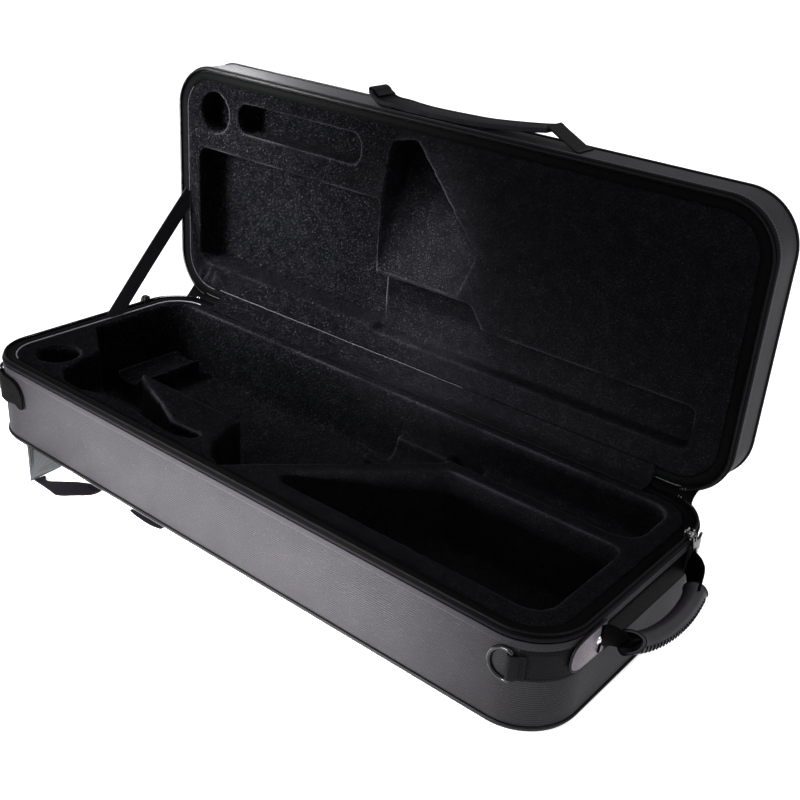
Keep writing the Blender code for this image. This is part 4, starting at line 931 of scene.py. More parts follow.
@dataclass(frozen=True)
class CaseForm:
    """The plan that both halves share, and distances along its rim.

    Distances run clockwise, seen from above, from the middle of the right end.

    Attributes:
        length: Of the shell, along X.
        width: From front to back.
        corner: Radius of its corners in plan.
        base_depth: From the floor to the base's edge.
        lid_depth: From the lid's edge to its top.
        gap: Between the edges of the shut halves, filled by the zip.
    """

    length: float = 0.860
    width: float = 0.327
    corner: float = 0.060
    base_depth: float = 0.107
    lid_depth: float = 0.056
    gap: float = 0.012

    @property
    def hinge(self) -> Vector:
        """A point on the hinge line."""
        return Vector((0.0, self.width / 2, self.base_depth + self.gap / 2))

    @property
    def open_lid(self) -> Matrix:
        """Turns what is described on the shut lid to where the open lid has it."""
        shift = Matrix.Translation(self.hinge)
        return shift @ Matrix.Rotation(-pi / 2, 4, "X") @ shift.inverted()

    @property
    def flats(self) -> Pair:
        """Half of the straight part of a short side, and of a long side."""
        return self.width / 2 - self.corner, self.length / 2 - self.corner

    @property
    def bend(self) -> float:
        """Length of one corner's arc."""
        return self.corner * pi / 2

    @property
    def marks(self) -> list[float]:
        """Measures where straight parts and corners meet.

        Returns:
            Their distances along the rim, from 0 to its whole length.
        """
        short, long = self.flats
        found = [0.0, short]
        for flat in (2 * long, 2 * short, 2 * long):
            found += [found[-1] + self.bend, found[-1] + self.bend + flat]
        found += [found[-1] + self.bend, found[-1] + self.bend + short]
        return found

    def rim(self, distance: float) -> tuple[Vector, Vector]:
        """Finds a place on the rim.

        Args:
            distance: How far along the rim.

        Returns:
            The place, on the floor under the wall, and the direction out of the case there.
        """
        marks = self.marks
        total = marks[-1]
        distance %= total
        if distance <= marks[1] or distance >= marks[-2]:
            offset = distance if distance <= marks[1] else distance - total
            return Vector((self.length / 2, -offset, 0.0)), Vector((1.0, 0.0, 0.0))
        short, long = self.flats
        centres = ((long, -short), (-long, -short), (-long, short), (long, short))
        corner = next(k for k in range(4) if distance <= marks[2 + 2 * k])
        past = distance - marks[1 + 2 * corner]
        turn = radians(-90.0 * corner) - max(past, 0.0) / self.corner
        out = Vector((cos(turn), sin(turn), 0.0))
        forward = Vector((sin(turn), -cos(turn), 0.0))
        spot = Vector((*centres[corner], 0.0)) + out * self.corner
        return spot + forward * min(past, 0.0), out

    def wall(self, distance: float, out: float, height: float) -> Vector:
        """Finds a place off the wall.

        Args:
            distance: How far along the rim.
            out: How far out of the wall.
            height: How high above the floor.

        Returns:
            The place.
        """
        place, away = self.rim(distance)
        spot = place + away * out
        spot.z = height
        return spot

    def stops(
        self, start: float, end: float, flat: float = 0.04, bend: float = 0.004
    ) -> list[float]:
        """Divides a stretch of the rim, finely round corners and wider on straights.

        Args:
            start: Where it starts, along the rim.
            end: Where it ends.
            flat: Step on a straight.
            bend: Step round a corner.

        Returns:
            Distances along the rim, both ends among them.
        """
        marks = self.marks
        total = marks[-1]
        edges = sorted({start, end, *(m + k * total for m in marks for k in (-1, 0, 1))})
        edges = [e for e in edges if start - 1e-9 <= e <= end + 1e-9]
        found = [start]
        for low, high in zip(edges, edges[1:]):
            if high - low < 1e-7:
                continue
            middle = (low + high) / 2 % total
            curved = any(marks[1 + 2 * k] < middle < marks[2 + 2 * k] for k in range(4))
            count = max(int((high - low) / (bend if curved else flat)), 1)
            found += [low + (high - low) * (k + 1) / count for k in range(count)]
        return found

    def angle_mark(self, corner: int, degrees_round: float) -> float:
        """Distance to a place in a corner (0 front right, 1 front left), in degrees round it."""
        return self.marks[1 + 2 * corner] + radians(degrees_round) * self.corner


FORM = CaseForm()


@dataclass
class CaseHalf:
    """The sewn cover, piping, rim facing and zip of the base or the lid.

    Its sections are lists of (out, deep): how far out of the wall, and how far from this half's
    edge toward its large face.

    Attributes:
        body: The body that it rides on.
        rim_height: Height of its edge, on the shut case.
        growth: -1 where it reaches down from its edge, and 1 where it reaches up.
        depth: From its edge to its outer face.
        turn: Moves it to its place at rest.
        wall: Finish of its wall.
        panel: Finish of its large face.
        face_node: The node that its large face stands for.
        crown: How far its large face swells.
        binding: Depth of its binding's far edge.
        stitched: Depth of the row of stitches in its binding.
        thread: Finish of those stitches.
        seam_start: Where the pale seam of its lining starts, along the rim; its paleness is a
            painted highlight.
        seam_end: Where that seam ends.
        seam: Finish of that seam.
        cover: Thickness of the cover.
        fillet: Rounding of the large face's turned-up edge.
        piping_radius: Half the piping's thickness.
        piping_height: From the large face to the piping's middle.
        piping_gap: Between the piping and the cloth on both sides of it.
        binding_low: Depth of the binding's near edge.
        binding_proud: How far the binding stands off the wall.
        facing_out: Outer edge of the rim facing.
        facing_in: Its inner edge.
        facing_high: How high it stands over the edge, as a depth below zero.
        zip_start: Where the zip starts, along the rim.
        zip_end: Where it ends.
    """

    body: Body
    rim_height: float
    growth: int
    depth: float
    turn: Matrix
    wall: Finish
    panel: Finish
    face_node: str
    crown: float
    binding: float
    stitched: float
    thread: Finish
    seam_start: float
    seam_end: float
    seam: Finish
    cover: float = 0.0015
    fillet: float = 0.003
    piping_radius: float = 0.002
    piping_height: float = 0.006
    piping_gap: float = 0.0003
    binding_low: float = 0.0046
    binding_proud: float = 0.0010
    facing_out: float = -0.0050
    facing_in: float = -0.0150
    facing_high: float = -0.0023
    zip_start: float = -0.1852
    zip_end: float = 1.3207

    def put(self, distance: float, out: float, deep: float) -> Vector:
        """A place on this half, from its distance along the rim, out of the wall, and deep."""
        return self.turn @ FORM.wall(distance, out, self.rim_height + self.growth * deep)

    def facing(self, distance: float) -> Vector:
        """The direction out of the wall at a distance along the rim."""
        return self.turn.to_3x3() @ FORM.rim(distance)[1]

    def sweep(
        self, profile: list[Pair], start: float | None = None, end: float | None = None
    ) -> Sketch:
        """Carries a section round the rim, or along a part of it.

        Args:
            profile: The section, as (out, deep).
            start: Where it starts, or None to go all round.
            end: Where it ends.

        Returns:
            The sketch.
        """
        ring = start is None
        stops = FORM.stops(0.0, FORM.marks[-1])[:-1] if ring else FORM.stops(start, end)
        sections = [[self.put(s, out, deep) for out, deep in profile] for s in stops]
        across = [0.0]
        for (a, b), (c, d) in zip(profile, profile[1:]):
            across.append(across[-1] + hypot(a - c, b - d))
        return Sketch().skin(sections, stops, across, ring=ring)

    def name(self, what: str) -> str:
        """A piece's or a node's name on this half."""
        return f"{self.body.value}_{what}"

    def sew(self, sketch: Sketch, what: str, finish: Finish, *nodes: str) -> None:
        """Builds a sketched piece of this half and settles it."""
        sketch.place(self.name(what), self.body, finish, *nodes)

    def build(self) -> None:
        """Builds and places every sewn piece of this half."""
        self.build_wall()
        self.build_binding()
        self.build_panel()
        self.build_piping()
        self.build_rim()
        self.build_zip()

    def build_wall(self) -> None:
        """The ribbed wall, a little full between its seams."""
        deep = self.depth - self.piping_height - self.piping_radius - self.piping_gap
        steps, fullness, tuck = 10, 0.0006, 0.0001
        outer = [
            (fullness * sin(pi * k / steps) - tuck, deep * k / steps) for k in range(steps + 1)
        ]
        wall = self.sweep([*outer, (-self.cover, deep), (-self.cover, 0.0)])
        ripple(wall, 0.00025, 14.0)
        self.sew(wall, "wall_cloth", self.wall, self.name("wall_cover"))

    def build_binding(self) -> None:
        """The binding under the edge with its stitches, the rolled tape above it, and between them
        a near black cord that is painted shade for the groove there.
        """
        low, high, proud = self.binding_low, self.binding, self.binding_proud
        band = [(0.0, low), (proud * 0.6, low + 0.0001), (proud, low + 0.0006)]
        band += [(proud, high - 0.0008), (proud * 0.75, high), (0.0, high)]
        self.sew(self.sweep(band), "edge_binding", BINDING)
        roll = [(-0.0004, -0.0004), (0.0007, -0.0002), (0.0014, 0.0005), (0.0016, 0.0013),
                (0.0014, 0.0022), (0.0008, 0.0028), (0.0001, 0.0030)]
        self.sew(self.sweep(roll), "edge_tape", EDGING)
        # painted shade: a near black cord in the groove between the rolled tape and the binding
        self.sew(self.sweep(circle((0.0002, 0.0038), 0.0008)), "edge_cord", BLACK_CLOTH_AND_GROOVE_SHADE)
        stops = FORM.stops(0.0, FORM.marks[-1], 0.02)
        facing = [self.facing(s) for s in stops]
        line = [self.put(s, proud + 0.00005, self.stitched) for s in stops]
        rows = stitches(Sketch(), line, facing, 0.0031, (0.0009, 0.00042, 0.00035))
        self.sew(rows, "edge_stitching", self.thread)

    def build_panel(self) -> None:
        """The large outer face with its turned-up edge, as one thin solid."""
        edge = self.depth - (self.piping_height - self.piping_radius - self.piping_gap)
        rise = edge - (self.depth - self.fillet)
        line = [(-self.cover, edge), (-0.0002, edge + rise * 0.1), (0.0, edge + 0.0002)]
        for turn in (pi * k / 8 for k in range(5)):
            sunk = self.fillet * (1 - sin(turn))
            line.append((-self.fillet * (1 - cos(turn)), self.depth - sunk))
        stops = FORM.stops(0.0, FORM.marks[-1])[:-1]
        shares = (0.985, 0.96, 0.92, 0.85, 0.7, 0.5, 0.25, 0.0008)
        sections = []
        for s in stops:
            section = [self.put(s, out, deep) for out, deep in line]
            section += [self.panel_spot(s, self.fillet, 0.0, share) for share in shares]
            # the skin comes back below itself
            section += [
                self.panel_spot(s, self.cover, self.cover, share) for share in (*shares[::-1], 1.0)
            ]
            sections.append(section)
        across = [0.001 * k for k in range(len(sections[0]))]
        sketch = Sketch().skin(sections, stops, across, ring=True)
        self.sew(sketch, "panel_cloth", self.panel, self.face_node)

    def panel_spot(self, distance: float, inset: float, sunk: float, share: float) -> Vector:
        """Finds a place on the large face.

        Args:
            distance: How far along the rim.
            inset: How far inside the wall the face's edge lies.
            sunk: How far under the face.
            share: From 0 at the middle of the face to 1 at its edge.

        Returns:
            The place, at rest.
        """
        place, away = FORM.rim(distance)
        edge = place - away * inset
        deep = self.depth - sunk + self.crown * (1 - share**4)
        height = self.rim_height + self.growth * deep
        return self.turn @ Vector((edge.x * share, edge.y * share, height))

    def build_piping(self) -> None:
        """The cord sewn between wall and panel."""
        cord = circle((0.0005, self.depth - self.piping_height), self.piping_radius * 0.8, 12)
        self.sew(self.sweep(cord), "piping_cord", PIPING, self.name("piping"))

    def build_rim(self) -> None:
        """The facing over the shell's edge, the sunken tape inside it, near black as painted shade
        for the groove there, and the lining's seam, pale as a painted highlight.
        """
        out, inner, high = self.facing_out, self.facing_in, self.facing_high
        line = [(out, -0.0003), (out, high * 0.6), (out - 0.0012, high), (-0.0105, high - 0.0005)]
        line += [(inner + 0.0012, high), (inner, high * 0.6), (inner, -0.0003)]
        self.sew(self.sweep(line), "rim_facing", TAPE, self.name("rim_band"))
        # painted shade: the sunken tape is near black so the groove between the facing and the
        # plush reads as deep shade
        near, far, top, low = inner + 0.0003, -0.0183, -0.0007, -0.0001
        groove = [(near, low), (near, top), (far, top), (far, low)]
        self.sew(self.sweep(groove), "groove_tape", BLACK_CLOTH_AND_GROOVE_SHADE)
        # painted highlight: a pale cord that runs only along the left part of the rim
        seam = self.sweep(circle((-0.0161, -0.0013), 0.0009), self.seam_start, self.seam_end)
        self.sew(seam, "lining_seam", self.seam)

    def build_zip(self) -> None:
        """The zip's tape, its row of teeth and the two stops at each end."""
        tape = [(-0.0006, -0.0002), (-0.0003, -0.0012), (-0.0011, -0.0030), (-0.0022, -0.0030)]
        tape += [(-0.0026, -0.0014), (-0.0042, -0.0010), (-0.0048, -0.0002)]
        cloth = self.sweep(tape, self.zip_start, self.zip_end)
        self.sew(cloth, "zip_cloth", TAPE, self.name("zip_tape"))
        stops = FORM.stops(self.zip_start, self.zip_end, 0.03)
        line = [self.put(s, -0.0017, -0.0042) for s in stops]
        facing = [self.turn.to_3x3() @ (UP * -self.growth)] * len(line)
        teeth = stitches(Sketch(), line, facing, 0.00155, (0.00055, 0.00125, 0.00105))
        self.sew(teeth, "zip_teeth", COIL, self.name("zip_chain"))
        ends = Sketch()
        for s, step in ((self.zip_start, 1), (self.zip_end, -1)):
            for number in range(2):
                here = s + step * (0.004 + 0.0035 * number)
                away = self.facing(here)
                along = (self.put(here + 0.001, 0.0, 0.0) - self.put(here, 0.0, 0.0)).normalized()
                spot = self.put(here, -0.0012, -0.0040)
                ends.bead(spot, away * 0.0026, along * 0.0011, away.cross(along) * 0.0016)
        self.sew(ends, "zip_ends", GUN_METAL)


def ripple(sketch: Sketch, height: float, scale: float) -> None:
    """Moves a sketch's points a little, as cloth over board is never quite flat."""
    for index, place in enumerate(sketch.places):
        sketch.places[index] = place + noise.noise_vector(place * scale) * height


@dataclass
class PlushForm:
    """Moulded plush made from the foam blocks of one half, with soft lips.

    Attributes:
        name: The piece's name.
        body: What it rides on.
        nodes: The blocks that it stands for.
        swell: How far the plush stands off the blocks.
        voxel: Size of the grid that fuses them.
        softening: How often the lips are eased.
        nap: Height of the plush's unevenness.
        lip: How pale its lips are.
        pressed: Height under which its lips are pressed flat.
        creases: Both ends of each fold in the cloth.
        crease_width: Half a fold's width.
        crease_height: How far a fold stands up.
    """

    name: str
    body: Body
    nodes: tuple[str, ...]
    swell: float = 0.0004
    voxel: float = 0.003
    softening: int = 7
    nap: float = 0.0004
    lip: float = 1.0
    pressed: float = -1.0
    creases: tuple[tuple[Vector, Vector], ...] = ()
    crease_width: float = 0.0022
    crease_height: float = 0.0018

    def build(self, frame: dict) -> Piece:
        """Fuses the blocks, softens them and places the piece.


        Returns:
            The plush.
        """
        source = put_in_scene(f"{self.name}_source", self.blocks(frame))
        fused = self.modified(source, "REMESH", mode="VOXEL", voxel_size=self.voxel)
        source.data = fused
        soft = self.modified(source, "SMOOTH", iterations=self.softening, factor=0.5)
        bpy.data.objects.remove(source)
        eased, normals = self.read(soft, "co"), self.read(soft, "normal")
        moved = ((self.read(fused, "co") - eased) * normals).sum(1)
        lip = self.lips(moved, eased, normals)
        wave = np.array([noise.noise(Vector(p) * 90.0) for p in eased])
        eased += normals * (wave * self.nap - self.nap / 2)[:, None]
        for first, last in self.creases:
            span = np.array(last - first)
            share = np.clip((eased - np.array(first)) @ span / (span @ span), 0.0, 1.0)
            gap = np.linalg.norm(eased - np.array(first) - share[:, None] * span, axis=1)
            fold = np.exp(-((gap / self.crease_width) ** 2))
            eased += normals * (fold * self.crease_height)[:, None]
            lip = np.maximum(lip, fold * 0.12)
        soft.vertices.foreach_set("co", eased.astype(np.float32).ravel())
        # the lip paleness, partly painted highlight, goes to the material as the edge attribute
        edge = soft.attributes.new("edge", "FLOAT", "POINT")
        edge.data.foreach_set("value", lip.astype(np.float32))
        soft.shade_smooth()
        coat(soft, PLUSH)
        piece = put_in_scene(self.name, soft)
        settle(piece, self.body, PLUSH, *self.nodes)
        return piece

    def blocks(self, frame: dict) -> bpy.types.Mesh:
        """Joins the blocks in one mesh, each a little swollen.


        Returns:
            The mesh.
        """
        bm = bmesh.new()
        for node in self.nodes:
            bm.from_mesh(frame["nodes"][node].data)
        bmesh.ops.remove_doubles(bm, verts=bm.verts, dist=0.00001)
        bmesh.ops.recalc_face_normals(bm, faces=bm.faces)
        for vert in bm.verts:
            vert.co += vert.normal * self.swell
        made = bpy.data.meshes.new(f"{self.name}_blocks")
        bm.to_mesh(made)
        bm.free()
        return made

    def lips(self, moved: np.ndarray, places: np.ndarray, normals: np.ndarray) -> np.ndarray:
        """Marks the lips, where the pile opens and looks pale, a paleness that is partly a painted
        highlight.

        Lips that face left get a stronger painted highlight, as though they catch the light, and
        here and there one is worn away.

        Args:
            moved: How far the softening moved each point inward.
            places: Where the points are.
            normals: Which way they face.

        Returns:
            Each point's nearness to a lip, from 0.
        """
        lip = np.clip(moved / (self.voxel * 0.5), 0.0, 1.0) ** 1.7
        # painted highlight: lips that face left, toward the light, are paler
        lip *= np.clip(0.42 - 0.85 * normals[:, 0], 0.0, 1.0) * self.lip
        lip *= np.clip((places[:, 2] - self.pressed) / 0.03, 0.2, 1.0)
        worn = np.array([noise.noise(Vector(p) * 17.0) for p in places])
        return lip * np.clip(0.72 + 1.5 * worn, 0.15, 1.15)

    @staticmethod
    def modified(source: Piece, kind: str, **settings: object) -> bpy.types.Mesh:
        """Puts an object's mesh through one modifier.

        Args:
            source: The object.
            kind: The modifier's type.
            settings: Attributes to set on it.

        Returns:
            The mesh that comes out.
        """
        modifier = source.modifiers.new(kind.title(), kind)
        for name, value in settings.items():
            setattr(modifier, name, value)
        graph = bpy.context.evaluated_depsgraph_get()
        graph.update()
        made = bpy.data.meshes.new_from_object(source.evaluated_get(graph))
        source.modifiers.clear()
        return made

    @staticmethod
    def read(mesh: bpy.types.Mesh, what: str) -> np.ndarray:
        """Reads a vector of each of a mesh's points.

        Args:
            mesh: The mesh.
            what: co for its place or normal for its direction.

        Returns:
            One row for each point.
        """
        found = np.zeros(len(mesh.vertices) * 3, np.float32)
        mesh.vertices.foreach_get(what, found)
        return found.reshape(-1, 3)


BED = ("base_floor_pad", "accessory_tray", "tube_cradle", "body_cradle", "neck_block", "tube_rest",
       "bow_rest")
LINING = ("lid_back_pad", "lid_foam_left", "lid_foam_right", "lid_long_pad", "lid_bell_ramp")
FOLDS = tuple(
    (Vector((x, 0.1700, z)), Vector((end_x, 0.1700, end_z)))
    for x, z, end_x, end_z in (
        (-0.3745, 0.1526, -0.3847, 0.1365),
        (-0.3616, 0.1517, -0.3666, 0.1372),
        (-0.3920, 0.1530, -0.3959, 0.1400),
    )
)


@dataclass
class HingeCloth:
    """The outer gusset, the plush lining inside, the gores and the webbing stay at the left end.

    Attributes:
        gusset_reach: Half the outer cloth's length.
        lining_reach: Half the lining's length.
        bend_reach: How far below and above the hinge line the cloth bends.
        stay_low: Lower end of the stay, on the base.
        stay_high: Upper end of the stay, on the lid.
        stay_width: Its width.
        gore_inset: How far inside the wall a gore is sewn.
    """

    gusset_reach: float = 0.372
    lining_reach: float = 0.350
    bend_reach: float = 0.004
    stay_low: Triple = (-0.4139, 0.0270, 0.1090)
    stay_high: Triple = (-0.4139, 0.1676, 0.2585)
    stay_width: float = 0.025
    gore_inset: float = 0.003

    def build(self) -> None:
        """Builds the bending pieces and the seam over the lining, pale as a painted highlight."""
        back = FORM.hinge.y
        gusset = [(back + 0.0008, 0.0825), (back + 0.0009, 0.0905), (back + 0.0009, 0.1040),
                  (back + 0.0026, 0.1095), (back + 0.0080, 0.1120), (back + 0.0225, 0.1122)]
        self.cloth("hinge_cloth", gusset, self.gusset_reach, 0.0012, WEBBING, "hinge_gusset")
        lining = [(back - 0.0210, 0.1104), (back - 0.0125, 0.1108), (back - 0.0045, 0.1124),
                  (back + 0.0010, 0.1165), (back + 0.0026, 0.1225), (back + 0.0027, 0.1315)]
        self.cloth("hinge_plush", lining, self.lining_reach, 0.0016, PLUSH, "hinge_lining")
        self.seam(Vector((-0.349, back + 0.0026, 0.1318)))
        self.stay()
        for side in (-1, 1):
            self.gore(side)

    def bend(self) -> tuple[Vector, Vector]:
        """Two points on the hinge's bend, below and above the hinge line."""
        step = Vector((0.0, self.bend_reach, self.bend_reach))
        return FORM.hinge - step, FORM.hinge + step

    def cloth(
        self, name: str, line: list[Pair], reach: float, thick: float, finish: Finish, node: str
    ) -> None:
        """A sheet that runs along the hinge and bends over it.

        Args:
            name: The piece's name.
            line: Its section, as (y, z).
            reach: Half its length.
            thick: Its thickness.
            finish: Its material.
            node: The node that it stands for.
        """
        path = spline([Vector((0.0, y, z)) for y, z in line], 17)
        rows = 44
        along = [2 * reach * row / rows for row in range(rows + 1)]
        sections = []
        for distance in along:
            x = distance - reach
            outer, inner = [], []
            for index, (here, tangent) in enumerate(zip(path, tangents(path))):
                normal = Vector((0.0, -tangent.z, tangent.y))
                sag = noise.noise(Vector((x * 18, index * 0.3, 0.0))) * 0.0005
                spot = Vector((x, here.y, here.z)) + normal * sag
                outer.append(spot + normal * thick / 2)
                inner.append(spot - normal * thick / 2)
            sections.append(outer + inner[::-1])
        marks = lengths(path)
        sketch = Sketch().skin(sections, along, marks + marks[::-1])
        piece = sketch.build(name, finish)
        bridge(piece, finish, (Body.BASE, Body.LID), *self.bend(), node)

    def seam(self, start: Vector) -> None:
        """The seam over the lining, pale as a painted highlight, which thins out to the right.

        Args:
            start: Its left end.
        """
        pitch, count = 0.0075, 59
        spots = [start + Vector((pitch * k, 0.0, 0.0)) for k in range(count)]
        spots = [p + noise.noise_vector(p * 60) * 0.0006 for p in spots]
        cord = tube(spots, lambda share: 0.0010 - 0.0006 * share, 8)
        cord.place("hinge_seam_highlight", Body.LID, SEAM_HIGHLIGHT)

    def gore(self, side: int) -> None:
        """The folded cloth that closes the gap between the halves at the end of the zip.

        Args:
            side: 1 at the right end and -1 at the left.
        """
        rows, columns, round_rows = 13, 7, 9
        tuck, fold, half_thick = 0.0010, 0.0035, 0.0006
        short, flat = FORM.flats
        radius = FORM.corner - self.gore_inset
        sections = []
        for row in range(rows):
            turn = radians(min(52 + 38 * row / round_rows, 90))
            past = max(row - round_rows, 0) * 0.0080
            x, y = flat + radius * cos(turn) - past, short + radius * sin(turn)
            plan = Vector((side * x, y, 0.0))
            low = plan + UP * (FORM.base_depth + tuck)
            high = FORM.open_lid @ (plan + UP * (FORM.base_depth + FORM.gap - tuck))
            inward = Vector((-side * cos(turn), -sin(turn), 0.0))
            outer, inner = [], []
            for column in range(columns):
                share = column / (columns - 1)
                spot = low.lerp(high, share) + inward * fold * sin(pi * share)
                outer.append(spot - inward * half_thick)
                inner.append(spot + inward * half_thick)
            sections.append(outer + inner[::-1])
        marks = [0.002 * k for k in range(columns)]
        sketch = Sketch().skin(sections, [0.0042 * k for k in range(rows)], marks + marks[::-1])
        piece = sketch.build(f"gore_{'right' if side > 0 else 'left'}", BLACK_CLOTH_AND_GROOVE_SHADE)
        bridge(piece, BLACK_CLOTH_AND_GROOVE_SHADE, (Body.BASE, Body.LID), *self.bend())

    def stay(self) -> None:
        """The strap that keeps the lid from falling back, sewn to both halves."""
        low, high = Vector(self.stay_low), Vector(self.stay_high)
        steps, hem, slack = 32, 0.0035, 0.0012
        along = (high - low).normalized()
        first, last = low - along * hem, high + along * hem
        line = [
            first.lerp(last, k / steps) - Vector((slack * sin(pi * k / steps), 0.0, 0.0))
            for k in range(steps + 1)
        ]
        across = Vector((0.0, -1.0, 1.0))
        sketch = strap(line, lambda _: across, [self.stay_width] * len(line), 0.0015)
        piece = sketch.build("stay_webbing", STAY)
        nodes = ("stay_strap", "stay_anchor_base", "stay_anchor_lid")
        bridge(piece, STAY, (Body.BASE, Body.LID), low, high, *nodes)


def wall_patch(outline: list[Pair], rings: tuple[Pair, ...], back: float, step: float) -> Sketch:
    """A patch that follows the base's wall and swells a little.

    Args:
        outline: Its edge, as distance along the rim and height.
        rings: How far out it stands at each share of the way from its middle.
        back: How far out of the wall its back lies.
        step: Distance to count from point to point of the edge.

    Returns:
        The sketch.
    """
    count = len(outline)
    middle = (sum(s for s, _ in outline) / count, sum(z for _, z in outline) / count)
    closed = (*rings, (rings[-1][0], back))
    sections = []
    for s, z in outline:
        sections.append([
            FORM.wall(middle[0] + (s - middle[0]) * share, out, middle[1] + (z - middle[1]) * share)
            for share, out in closed
        ])
    marks = [step * k for k in range(count)]
    return Sketch().skin(sections, marks, [0.002 * k for k in range(len(closed))], ring=True)


@dataclass
class EndBand:
    """Webbing round the right end, the two grip patches and their rivets.

    Attributes:
        start: Where the band starts, along the rim.
        split: Where its dull part ends and its plain webbing starts.
        end: Where it ends.
        middle: Height of its middle.
        width: Its width.
        thick: Its thickness.
        out: How far out of the wall its middle layer lies.
        patch_low: Height of the patches' lower edge.
        patch_high: Height of their upper edge.
        rivet_height: Height of the rivets.
    """

    start: float = -0.1440
    split: float = 0.0903
    end: float = 0.1730
    middle: float = 0.0765
    width: float = 0.0325
    thick: float = 0.0010
    out: float = 0.0009
    patch_low: float = 0.068
    patch_high: float = 0.104
    rivet_height: float = 0.0880

    def build(self) -> None:
        """Builds the band, the patches, their cords and the rivets."""
        self.band("end_strap", self.start, self.split, DULL_WEBBING, "end_band")
        self.band("end_webbing", self.split, self.end, WEBBING)
        self.stitching()
        low, high = self.patch_low, self.patch_high
        front = [(0.078, low), (0.078, high), (0.127, high), (0.127, low)]
        self.patch("front", front, [0.003, 0.003, 0.025, 0.010])
        back = [(-0.134, low), (-0.134, high - 0.002), (-0.090, high - 0.002), (-0.090, low)]
        self.patch("back", back, [0.010, 0.020, 0.003, 0.003])
        self.rivet("front", -0.0905)
        self.rivet("back", 0.1065)

    def stops(self, start: float, end: float) -> list[float]:
        """Distances along the rim between two ends, for webbing."""
        return FORM.stops(start, end, 0.012, 0.006)

    def band(self, name: str, start: float, end: float, finish: Finish, *nodes: str) -> None:
        """One stretch of the band.

        Args:
            name: The piece's name.
            start: Where it starts, along the rim.
            end: Where it ends.
            finish: Its material.
            nodes: The nodes that it stands for.
        """
        line = [FORM.wall(s, self.out, self.middle) for s in self.stops(start, end)]
        webbing = strap(line, lambda _: UP, [self.width] * len(line), self.thick)
        webbing.place(name, Body.BASE, finish, *nodes)

    def stitching(self) -> None:
        """Two rows of stitches along the band's edges."""
        stops = self.stops(self.start, self.end)
        facing = [FORM.rim(s)[1] for s in stops]
        inset, out, pitch = 0.0028, 0.0015, 0.0034
        rows = Sketch()
        for side in (-1, 1):
            height = self.middle + side * (self.width / 2 - inset)
            line = [FORM.wall(s, out, height) for s in stops]
            stitches(rows, line, facing, pitch, (0.0011, 0.0003, 0.00028))
        rows.place("end_webbing_stitching", Body.BASE, BLACK_THREAD)

    def patch(self, name: str, corners: list[Pair], radii: list[float]) -> None:
        """A grained patch with a cord round it.

        Args:
            name: Which end of the grip it holds.
            corners: Its corners, as distance along the rim and height.
            radii: How far each corner is rounded.
        """
        outline = rounded(corners, radii, 8)
        rings = ((1.0, 0.0026), (1.0, 0.0042), (0.985, 0.0050), (0.955, 0.0053), (0.92, 0.0048),
                 (0.88, 0.0050), (0.6, 0.0054), (0.3, 0.0056), (0.03, 0.0056))
        skin = wall_patch(outline, rings, 0.0026, 0.01)
        skin.place(f"patch_{name}", Body.BASE, PATCH_VINYL, f"grip_patch_{name}")
        cord = tube([FORM.wall(s, 0.0042, z) for s, z in outline], lambda _: 0.0014, 8, True)
        cord.place(f"patch_{name}_cord", Body.BASE, PIPING)

    def rivet(self, name: str, y: float) -> None:
        """A domed rivet with a raised rim.

        Args:
            name: Which end of the grip it holds.
            y: Its place across the right end.
        """
        sides = 24
        profile = [(0.0001, 0.0020), (0.0014, 0.0019), (0.0026, 0.0014), (0.0032, 0.0008),
                   (0.0036, 0.0011), (0.0043, 0.0010), (0.0046, 0.0004), (0.0046, -0.0004)]
        base = Vector((FORM.length / 2 + 0.0056, y, self.rivet_height))
        turns = [tau * k / sides for k in range(sides)]
        sections = [
            [base + Vector((high, radius * cos(t), radius * sin(t))) for radius, high in profile]
            for t in turns
        ]
        across = [radius for radius, _ in profile]
        sketch = Sketch().skin(sections, turns, across, ring=True, open_profile=True)
        sketch.place(f"rivet_{name}", Body.BASE, NICKEL, f"grip_rivet_{name}", sharp=60.0)


@dataclass(frozen=True)
class TabForm:
    """How one webbing tab runs from its patch into the grip.

    Attributes:
        name: Which end of the grip.
        side: 1 for the front end and -1 for the back end.
        start: How far from the hinge's middle it leaves the patch.
        lift: How far above the hinge line it leaves it.
        swell: How far out of the grip's line it runs.
        slim: How much narrower it gets.
        bends: Angles round the grip's line that it passes.
    """

    name: str
    side: float
    start: float
    lift: float
    swell: float
    slim: float
    bends: Triple


